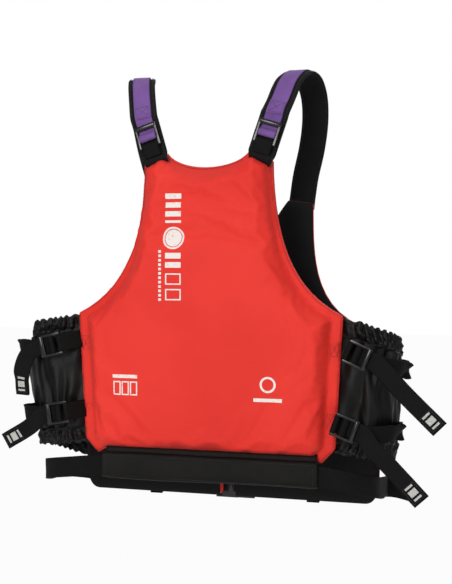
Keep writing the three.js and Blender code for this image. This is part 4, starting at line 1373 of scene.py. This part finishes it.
def sleeve_flap(low, high, base):
    """A thin sheet from inside the sleeve's top up behind the back panel's hem."""
    columns = np.linspace(low.x + 0.002, high.x - 0.002, 60)
    inside, behind = (high.y + low.y) / 2, -FLANGE_TOP + 0.0004
    verts, faces = [], []
    for x in columns:
        for thick in (0.0, 0.001):
            verts += [(x, inside + thick, high.z - 0.003), (x, behind + thick, high.z + SLEEVE_FLAP)]
    for i in range(len(columns) - 1):
        front, back = base + 4 * i, base + 4 * i + 2
        faces += [(front, front + 4, front + 5, front + 1), (back + 1, back + 5, back + 4, back),
                  (front + 1, front + 5, back + 5, back + 1), (back, back + 4, front + 4, front)]
    last = base + 4 * (len(columns) - 1)
    faces += [(base, base + 1, base + 3, base + 2), (last + 2, last + 3, last + 1, last)]
    return verts, faces


def add_sleeve():
    """The soft tube of cloth that carries the belt across the back."""
    low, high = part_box("belt_sleeve")
    depth, height = high.y - low.y, high.z - low.z
    middle_y, middle_z = (high.y + low.y) / 2, (high.z + low.z) / 2
    stations, around = 150, 44
    verts = []
    for wall, inset in ((0, 0.0), (1, 0.0013)):
        for i in range(stations):
            share = i / (stations - 1)
            x = low.x + (high.x - low.x) * share
            ends = min(1.0, min(share, 1 - share) / 0.03)
            for y, z in tube_profile(depth - 2 * inset, height - 2 * inset, around):
                crease = waves(x * 55, y * 60, z * 40)
                pull = waves(x * 16, 3.1, z * 18)
                slack = 0.0009 * crease + 0.0012 * pull
                mouth = 1 - 0.06 * (1 - ends)
                sag = 0.0012 * math.sin(x * 19) * (z < 0)
                verts.append((x, middle_y + y * mouth + slack * (1 if y > 0 else -1) * 0.8,
                              middle_z + z * mouth + slack * 0.5 + sag))
    ring, wall = around, stations * around
    faces = []
    for i in range(stations - 1):
        for k in range(ring):
            a, b = i * ring + k, i * ring + (k + 1) % ring
            faces.append((a, b, b + ring, a + ring))
            faces.append((wall + b, wall + a, wall + a + ring, wall + b + ring))
    for i, turn in ((0, 1), (stations - 1, -1)):
        for k in range(ring):
            a, b = i * ring + k, i * ring + (k + 1) % ring
            quad = (a, wall + a, wall + b, b)
            faces.append(quad if turn > 0 else tuple(reversed(quad)))
    flap, flap_faces = sleeve_flap(low, high, len(verts))
    verts += flap
    faces += flap_faces
    piece = make_object("belt_sleeve_sewn", verts, faces, "sleeve")
    recalculate(piece)
    dress(piece, "black_nylon", "root", "belt_sleeve")
    runs = []
    for z in (high.z - 0.004, low.z + 0.004):
        line = [(x, low.y + 0.0012, z) for x in np.linspace(low.x + 0.004, high.x - 0.004, 80)]
        runs.append((line, [(0, -1, 0)] * len(line)))
    for x in (low.x + 0.006, high.x - 0.006):
        line = [(x, low.y + 0.0004, z) for z in np.linspace(low.z + 0.006, high.z - 0.006, 12)]
        runs.append((line, [(0, -1, 0)] * len(line)))
    thread = stitches("belt_sleeve_thread", runs, "thread_black", pitch=0.0036)
    dress(thread, "black_nylon", "root")


def add_moulded(node, body, bevel=0.0006):
    piece = crisp(f"{node}_moulded", node, "plastic", bevel)
    dress(piece, "acetal", body)


TOOTH_PITCH = 0.0026
TOOTH_SIZE = (0.0046, 0.0022, 0.0019)    # across the zip, through it and along it


def zip_guard(low, high, base):
    """A dark strip behind the teeth, so that no light shows between them."""
    middle_y = (low.y + high.y) / 2
    verts = []
    for x, y in ((-0.004, -0.0012), (0.004, -0.0012), (0.004, -0.0007), (-0.004, -0.0007)):
        verts += [(x, middle_y + y, low.z + 0.001), (x, middle_y + y, high.z - 0.003)]
    faces = [(base + 2 * k, base + (2 * k + 2) % 8, base + (2 * k + 3) % 8, base + 2 * k + 1)
             for k in range(4)]
    faces += [(base, base + 6, base + 4, base + 2), (base + 1, base + 3, base + 5, base + 7)]
    return verts, faces


def add_zip_teeth():
    """Interlocked teeth down the middle of the zip over the tapes' overlapping inner edges."""
    low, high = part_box("zip_tape_right")
    middle_y = (low.y + high.y) / 2
    verts, faces = [], []
    wide, deep, tall = (size / 2 for size in TOOTH_SIZE)
    for number in range(int((high.z - low.z - 0.010) / TOOTH_PITCH)):
        z = high.z - 0.005 - number * TOOTH_PITCH
        x = 0.0011 if number % 2 else -0.0011
        base = len(verts)
        for level, size in ((-1, 0.75), (-0.6, 1.0), (0.6, 1.0), (1, 0.75)):
            for dx, dz in ((-1, -0.6), (-0.8, -1), (0.8, -1), (1, -0.6), (1, 0.6), (0.8, 1),
                           (-0.8, 1), (-1, 0.6)):
                verts.append((x + dx * wide * size, middle_y + level * deep, z + dz * tall * size))
        faces += tube_faces(4, 8, base)
    guard, guard_faces = zip_guard(low, high, len(verts))
    verts += guard
    faces += guard_faces
    teeth = make_object("zip_teeth", verts, faces, "plastic", smooth=False)
    recalculate(teeth)
    dress(teeth, "zip_tape", "root")


def add_zip():
    for side in SIDES:
        tape = crisp(f"zip_tape_{side}_sewn", f"zip_tape_{side}", "pad", bevel=0.00015, segments=1)
        for vert in tape.data.vertices:
            if abs(vert.co.x) > 0.0108:
                vert.co.x += SIDES[side] * 0.005
        dress(tape, "zip_tape", "root")
    add_zip_teeth()
    slider = crisp("zip_slider_cast", "zip_slider", "zip", bevel=0.0004)
    dress(slider, "zip_metal", "zip_slider")
    pull = crisp("zip_pull_cast", "zip_pull", "zip", bevel=0.0004)
    dress(pull, "zip_metal", "zip_pull")


# ---- Putting it together --------------------------------------------------------------------

add_camera()
add_studio()
add_panel("back", -1, "red_printed", 3)
add_panel("front_right", 1, "red", 11)
add_panel("front_left", 1, "red", 17)
for number, wing in enumerate(SIDES):
    add_gusset(wing, 5 + number * 8)
    add_shoulder(wing)
    add_keeper(wing)
for adjuster in ADJUSTERS:
    add_lock(adjuster)
for strap_name in SIDE_STRAPS:
    add_side_strap(strap_name)
add_belt()
add_sleeve()
add_moulded("buckle_female", "root")
add_moulded("buckle_male", "buckle_male")
add_moulded("latch_arm_upper", "latch_arm_upper", 0.0004)
add_moulded("latch_arm_lower", "latch_arm_lower", 0.0004)
add_zip()
